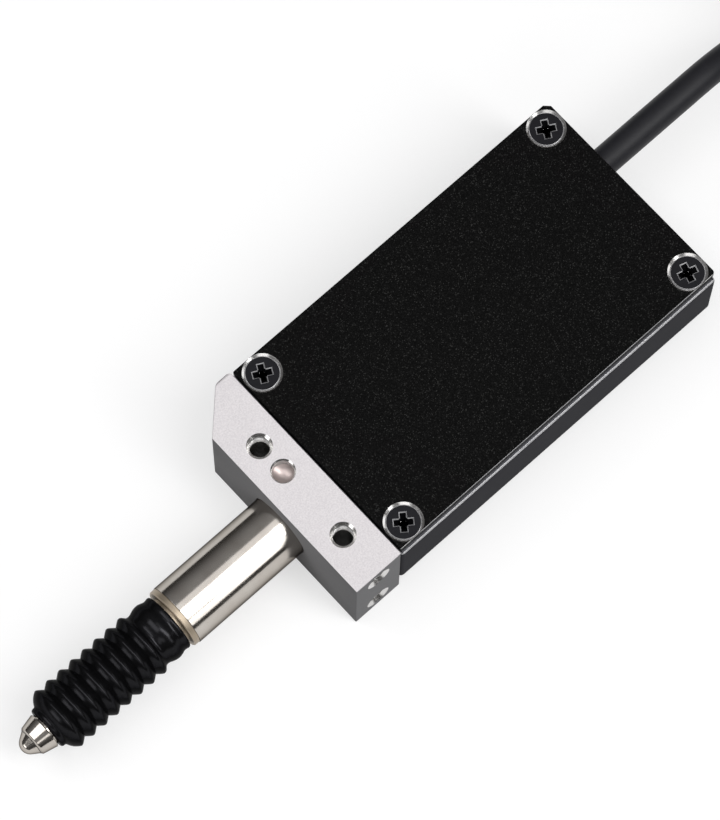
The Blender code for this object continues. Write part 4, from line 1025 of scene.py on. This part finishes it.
case = slab(
    "case_v",
    (CASE_FRONT, CASE_RIGHT, CASE_BOTTOM),
    (CASE_BACK + 0.12 * MM, CASE_LEFT + 0.15 * MM, CASE_RIM),
)
choose(case, "FACE", lambda face: face.normal.z > 0.9)
bpy.ops.mesh.inset(thickness=WALL)
bpy.ops.mesh.extrude_region_move(
    TRANSFORM_OT_translate={"value": (0, 0, CASE_BOTTOM + WALL - CASE_RIM)}
)
bpy.ops.object.mode_set(mode="OBJECT")
bevel_edges(case, 0.5 * MM, 3, at_case_corner)
for x, y, _ in SCREWS:
    carve(case, lathe("tool", rod(CASE_RIM - 4.6 * MM, CASE_RIM, 1.9 * MM), (x, y, 0), "Z", 32), "UNION")
    carve(case, lathe("tool", rod(8.5 * MM, CASE_RIM + MM, 1.0 * MM), (x, y, 0), "Z", 24))
carve(case, lathe("tool", rod(CASE_FRONT - MM, CASE_FRONT + 2 * MM, 3.5 * MM), (0, 0, STEM_Z), "X", 48))
cable_bore = rod(CASE_BACK - 2 * MM, CASE_BACK + MM, 1.93 * MM)
carve(case, lathe("tool", cable_bore, (0, CABLE_Y, CABLE_Z), "X", 48))
soften(case, 0.3 * MM, 3, 60)
finish_shade(case)
put(case, BODY, case_finish, "case")
# A band of the case rim's rounded edge is painted bright: a painted highlight.
paint(case, painted_edge_highlight, lambda face: face.center.z > CASE_RIM - 0.32 * MM and 0.5 < face.normal.z < 0.85)

gasket = slab("cover_gasket_v", (4.075 * MM, -12.4 * MM, 11.45 * MM), (52.075 * MM, 15.25 * MM, 12.2 * MM))
soften(gasket, 0.1 * MM, 2)
finish_shade(gasket)
put(gasket, BODY, gasket_finish, "cover_gasket")

# Cover with its countersinks

cover = slab("cover_v", (3.675 * MM, -12.6 * MM, COVER_BOTTOM), (52.64 * MM, 15.67 * MM, COVER_TOP))
bevel_edges(cover, 0.65 * MM, 1, lambda end: end.x > 40 * MM and end.y > 0)
bevel_edges(cover, 0.4 * MM, 3, lambda end: end.x > 40 * MM and end.y < 0)
soften(cover, 0.13 * MM, 2, 50)
SINK = 2.35 * MM
SLOPE = 1.479
for x, y, _ in SCREWS:
    outline = [
        (COVER_BOTTOM - MM, 0.0),
        (COVER_BOTTOM - MM, 1.0 * MM),
        (COVER_TOP - (SINK - 1.0 * MM) / SLOPE, 1.0 * MM),
        (COVER_TOP + 0.5 * MM, SINK + 0.5 * MM * SLOPE),
        (COVER_TOP + 0.5 * MM, 0.0),
    ]
    carve(cover, lathe("tool", outline, (x, y, 0), "Z", 96))
finish_shade(cover, 30)
put(cover, BODY, cover_finish, "cover")


def in_sink(face):
    """True on the countersinks' cones and bores."""
    x, y, z = face.center
    near = min(math.hypot(x - sx, y - sy) for sx, sy, _ in SCREWS)
    return near < SINK and 0.05 < abs(face.normal.z) < 0.95 or near < 1.05 * MM


def on_lit_cover_edge(face):
    """True on the rounded upper edge of the cover's -Y side, which gets a painted highlight."""
    leans = face.normal.y < -0.2 and 0.2 < face.normal.z < 0.85
    return leans and face.center.z > COVER_TOP - 0.15 * MM and not in_sink(face)


paint(cover, bright_cut, in_sink)
# The cover's rounded -Y edge is painted bright: a painted highlight.
paint(cover, painted_edge_highlight, on_lit_cover_edge)

# Cover screw: a countersunk head with a cross recess, modelled once and copied

SEAT_Z = 13.10 * MM
HEAD = 2.03 * MM
model = lathe(
    "cover_screw_model",
    [
        (8.7 * MM, 0.0),
        (8.7 * MM, 0.72 * MM),
        (8.78 * MM, 0.8 * MM),
        (SEAT_Z - 0.85 * MM, 0.8 * MM),
        (SEAT_Z - 0.14 * MM, HEAD),
        (SEAT_Z - 0.06 * MM, HEAD),
        (SEAT_Z, HEAD - 0.06 * MM),
        (SEAT_Z, 0.0),
    ],
    (0, 0, 0),
    "Z",
    64,
)
DEEP = 0.9 * MM
MOUTH_DEEP = 0.1 * MM
for quarter in (0, 90):
    for deep, long, wide, shrink in (
        (DEEP, 1.12 * MM, 0.36 * MM, (0.5, 0.65, 1.0)),
        (MOUTH_DEEP, 1.24 * MM, 0.48 * MM, (0.9, 0.75, 1.0)),
    ):
        arm = slab("tool", (-long, -wide, SEAT_Z - deep), (long, wide, SEAT_Z + 0.01 * MM))
        choose(arm, "FACE", lambda face: face.normal.z < -0.9)
        bpy.ops.transform.resize(value=shrink, center_override=(0, 0, SEAT_Z - deep))
        bpy.ops.object.mode_set(mode="OBJECT")
        if quarter:
            pick(arm)
            arm.rotation_euler.z = math.radians(quarter)
            bpy.ops.object.transform_apply(location=False, rotation=True, scale=False)
        carve(model, arm)
hub = [
    (SEAT_Z - DEEP, 0.0),
    (SEAT_Z - DEEP * 0.8, 0.4 * MM),
    (SEAT_Z + 0.2 * MM, 0.72 * MM),
    (SEAT_Z + 0.2 * MM, 0.0),
]
carve(model, lathe("tool", hub, (0, 0, 0), "Z", 24))
finish_shade(model, 20)
model.data.materials.append(oxide)


def across(face):
    """How far a face of the screw lies from the screw's axis."""
    return math.hypot(face.center.x, face.center.y)


def in_recess(face):
    """True in the cross recess, from its bottom to just below the head's top."""
    return across(face) < 1.3 * MM and SEAT_Z - 1.1 * DEEP < face.center.z < SEAT_Z - 0.04 * MM


def on_recess_cone(face):
    """True on the sloping faces at the bottom of the recess."""
    return across(face) < 0.5 * MM and face.center.z < SEAT_Z - DEEP / 2 and 0.3 < face.normal.z < 0.98


# The cross recess is painted near-black: painted shade.
paint(model, painted_recess_shade, in_recess)
# The rounded mouth of the cross recess is painted bright: a painted highlight around the cross.
paint(model, painted_edge_highlight, lambda face: face.center.z > SEAT_Z - MOUTH_DEEP and 0.1 < face.normal.z < 0.98)
# The cone at the bottom of the recess is painted bright metal so that it shows glints: a painted
# highlight.
paint(model, bright_cut, on_recess_cone)
for number, (x, y, angle) in enumerate(SCREWS, 1):
    name = f"cover_screw_{number}_v"
    screw = bpy.data.objects.new(name, model.data.copy())
    screw.data.name = name
    bpy.context.scene.collection.objects.link(screw)
    screw.location = (x, y, 0)
    screw.rotation_euler.z = math.radians(angle)
    pick(screw)
    bpy.ops.object.transform_apply(location=True, rotation=True, scale=True)
    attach(screw, BODY)
    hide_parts(f"cover_screw_{number}")
bpy.data.objects.remove(model, do_unlink=True)

# Plug: boot, shell, knurled coupling, and an insert with pins

RIBS = 6
KNURLS = 48
PINS = 6
PIN_CIRCLE = 2.4 * MM
plug_place = (PLUG_X, PLUG_Y, PLUG_Z)
boot_outline = [(0.0, 0.0), (0.0, 2.2 * MM), (0.3 * MM, 2.34 * MM)]
for i in range(RIBS):
    start = (0.9 + 1.4 * i) * MM
    radius = (2.42 + 0.12 * i) * MM
    waist = radius - 0.28 * MM
    boot_outline += [(start, radius), (start + 0.15 * MM, waist)]
    boot_outline += [(start + 0.55 * MM, waist), (start + 0.7 * MM, radius + 0.05 * MM)]
boot_outline += [(9.4 * MM, 3.2 * MM), (11.0 * MM, 3.3 * MM), (11.0 * MM, 0.0)]
boot = lathe("plug_boot_v", boot_outline, plug_place, "X", 64)
soften(boot, 0.06 * MM, 2, 40)
finish_shade(boot)
put(boot, BODY, rubber, "plug_boot")

shell = lathe(
    "plug_shell_v",
    [
        (11.05 * MM, 0.0),
        (11.05 * MM, 3.9 * MM),
        (11.6 * MM, 4.4 * MM),
        (15.0 * MM, 4.4 * MM),
        (15.3 * MM, 4.15 * MM),
        (16.2 * MM, 4.15 * MM),
        (16.5 * MM, 4.4 * MM),
        (31.0 * MM, 4.4 * MM),
        (31.0 * MM, 3.4 * MM),
        (26.0 * MM, 3.4 * MM),
        (26.0 * MM, 0.0),
    ],
    plug_place,
    "X",
    72,
)
soften(shell, 0.08 * MM, 2, 40)
finish_shade(shell)
put(shell, BODY, nickel, "plug_shell")

coupling = lathe(
    "plug_coupling_v",
    [
        (23.0 * MM, 5.5 * MM),
        (23.5 * MM, 6.0 * MM),
        (24.2 * MM, 6.0 * MM),
        (32.8 * MM, 6.0 * MM),
        (33.5 * MM, 6.0 * MM),
        (34.0 * MM, 5.5 * MM),
        (34.0 * MM, 4.6 * MM),
        (23.0 * MM, 4.6 * MM),
    ],
    plug_place,
    "X",
    2 * KNURLS,
    ring=True,
)


def knurl(face):
    """Every other face of the coupling's middle band."""
    x, y, z = face.center
    along = x - PLUG_X
    outside = math.hypot(y - PLUG_Y, z - PLUG_Z) > 5.8 * MM
    angle = math.atan2(z - PLUG_Z, y - PLUG_Y) / (2 * math.pi) * 2 * KNURLS
    return outside and 24.3 * MM < along < 32.7 * MM and math.floor(angle) % 2 == 0


choose(coupling, "FACE", knurl)
bpy.ops.mesh.extrude_faces_move(TRANSFORM_OT_shrink_fatten={"value": -0.25 * MM})
bpy.ops.object.mode_set(mode="OBJECT")
soften(coupling, 0.05 * MM, 1, 40)
finish_shade(coupling)
put(coupling, BODY, nickel, "plug_coupling")

insert = lathe(
    "plug_insert_v",
    [
        (26.2 * MM, 0.0),
        (26.2 * MM, 3.2 * MM),
        (27.6 * MM, 3.2 * MM),
        (27.7 * MM, 3.1 * MM),
        (27.7 * MM, 0.0),
    ],
    plug_place,
    "X",
    48,
)
finish_shade(insert)
put(insert, BODY, header_plastic, "plug_insert")
pin_outline = [
    (27.4 * MM, 0.0),
    (27.4 * MM, 0.5 * MM),
    (30.4 * MM, 0.5 * MM),
    (30.65 * MM, 0.35 * MM),
    (30.7 * MM, 0.0),
]
for number in range(PINS):
    turn_by = 2 * math.pi * number / PINS
    spot = (PLUG_X, PLUG_Y + PIN_CIRCLE * math.cos(turn_by), PLUG_Z + PIN_CIRCLE * math.sin(turn_by))
    pin = lathe(f"plug_pin_{number + 1}_v", pin_outline, spot, "X", 20)
    finish_shade(pin)
    pin.data.materials.append(gold)
    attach(pin, BODY)

# Strap that ties the hank, near its far end

STRAP = 0.5 * MM
STRAP_WIDE = 3.0 * MM
strap_x = HANK_LEFT + HANK_STRAIGHT - 1.6 * MM
strap = slab(
    "hank_strap",
    (strap_x - STRAP_WIDE / 2, HANK_Y - HANK_OUTER - STRAP - 0.1 * MM, 0.02 * MM),
    (strap_x + STRAP_WIDE / 2, HANK_Y + HANK_OUTER + STRAP + 0.1 * MM, HANK_HEIGHT + STRAP + 0.1 * MM),
)
choose(strap, "EDGE", lambda edge: abs(ends(strap, edge)[0].x - ends(strap, edge)[1].x) > MM)
bpy.ops.mesh.bevel(offset=2.2 * MM, segments=6, affect="EDGES")
bpy.ops.object.mode_set(mode="OBJECT")
choose(strap, "FACE", lambda face: abs(face.normal.x) > 0.9)
bpy.ops.mesh.delete(type="FACE")
bpy.ops.object.mode_set(mode="OBJECT")
pick(strap)
wall = strap.modifiers.new("Wall", "SOLIDIFY")
wall.thickness = STRAP
wall.offset = -1.0
bpy.ops.object.modifier_apply(modifier=wall.name)
soften(strap, 0.12 * MM, 2, 50)
finish_shade(strap)
put(strap, BODY, woven)

# Finishes of the pieces inside, which keep their CAD shapes

for node, material in (
    ("rear_bush", bronze),
    ("spindle", steel),
    ("stop_collar", steel),
    ("scale_carrier", aluminium),
    ("carrier_set_screw", oxide),
    ("glass_scale", glass),
    ("guide_rod", steel),
    ("reading_head", head_plastic),
    ("light_source", lamp_epoxy),
    ("photodetector", chip_plastic),
    ("head_screw_1", wire_steel),
    ("head_screw_2", wire_steel),
    ("circuit_board", board_green),
    ("signal_chip", chip_plastic),
    ("driver_chip", chip_plastic),
    ("wire_header", header_plastic),
    ("board_screw_1", wire_steel),
    ("board_screw_2", wire_steel),
    ("body_screw_1", oxide),
    ("body_screw_2", oxide),
    ("cable_clamp", rubber),
):
    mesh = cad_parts[node].data
    mesh.materials.clear()
    mesh.materials.append(material)

# Return spring: a wire that winds close at both ends

spring_low, spring_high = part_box("return_spring")
WIRE = 0.15 * MM
WIRE_PATH = 2.1 * MM
CLOSE = 0.42 * MM
COILS = 8
TURN_POINTS = 32
room = spring_high[0] - spring_low[0] - 2 * WIRE
wide = (room - 2 * CLOSE) / COILS
winding = []
for i in range((COILS + 2) * TURN_POINTS + 1):
    turned = i / TURN_POINTS
    x = spring_low[0] + WIRE + min(turned, 1.0) * CLOSE
    x += min(max(turned - 1.0, 0.0), COILS) * wide + max(turned - 1.0 - COILS, 0.0) * CLOSE
    angle = 2 * math.pi * turned
    winding.append((x, WIRE_PATH * math.cos(angle), STEM_Z + WIRE_PATH * math.sin(angle)))
spring = round_wire("return_spring_v", winding, WIRE, 1.0, 3)
pick(spring)
bpy.ops.object.convert(target="MESH")
spring = bpy.context.object
finish_shade(spring, 60)
put(spring, BODY, wire_steel, "return_spring")
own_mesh(spring)

# Floor, world and lights

FLOOR_SIZE = 6.0
FLOOR_GAP = 0.02 * MM
SKY_LOW = (0.035, 0.033, 0.031)
SKY_HIGH = (0.32, 0.32, 0.325)
clear()
bpy.ops.mesh.primitive_plane_add(size=FLOOR_SIZE, location=(0, 0, -FLOOR_GAP))
floor = bpy.context.object
floor.name = "floor"
paper = Finish("white_paper", (0.55, 0.55, 0.55), 1.0, Specular_IOR_Level=0.0, Emission_Strength=0.56)
seen = paper.node("ShaderNodeLightPath", output="Is Camera Ray")
for kind in ("Is Glossy Ray", "Is Transmission Ray"):
    seen = seen + paper.node("ShaderNodeLightPath", output=kind)
shown = seen.between(0.0, 1.0)
paper.set("Base Color", paper.mix(shown, (0.12, 0.12, 0.12), (0.45, 0.45, 0.45)))
paper.set("Emission Color", paper.mix(shown, (0.0, 0.0, 0.0), (1.0, 1.0, 1.0)))
floor.data.materials.append(paper.material)

world = bpy.data.worlds.new("studio")
air = Nodes(world)
facing = air.node("ShaderNodeTexCoord", output="Generated")
height = air.node("ShaderNodeSeparateXYZ", {0: facing}, output="Z")
sky = air.node("ShaderNodeValToRGB", {0: height}, stops=(SKY_LOW, SKY_HIGH))
air.join(air.tree.nodes["Background"].inputs["Color"], sky)
bpy.context.scene.world = world


def softbox(name, place, target, wide, tall, power, roll=0.0):
    """A studio light that faces the target, rolled about its own axis by degrees."""
    light = bpy.data.lights.new(name, "AREA")
    light.shape = "RECTANGLE"
    light.size = wide
    light.size_y = tall
    light.energy = power
    lamp = bpy.data.objects.new(name, light)
    lamp.location = place
    facing = (Vector(target) - Vector(place)).to_track_quat("-Z", "Y")
    lamp.rotation_euler = (facing @ Quaternion((0.0, 0.0, 1.0), math.radians(roll))).to_euler()
    bpy.context.scene.collection.objects.link(lamp)


softbox("key_softbox", (0.28, -0.64, 1.13), (0.02, 0.0, 0.0), 0.4, 1.0, 8.6)
softbox("low_softbox", (0.26, -1.14, 0.61), (-0.01, 0.0, 0.0), 0.25, 0.52, 1.2)
softbox("top_softbox", (-0.3, 0.26, 1.14), (-0.04, 0.0, 0.0), 0.45, 1.1, 4.6, roll=-45.0)
softbox("blend_softbox", (0.28, 0.07, 1.29), (0.02, 0.0, 0.0), 0.5, 0.4, 0.65)
softbox("front_softbox", (-1.12, 0.1, 0.34), (-0.03, 0.0, 0.0), 0.6, 0.3, 1.6)
softbox("left_softbox", (-0.72, -0.7, 0.82), (0.0, 0.0, 0.0), 0.8, 0.3, 1.2)
softbox("right_softbox", (1.08, -0.54, 0.47), (0.03, 0.0, 0.0), 0.8, 0.3, 1.2)

bpy.context.scene.view_settings.view_transform = "Standard"
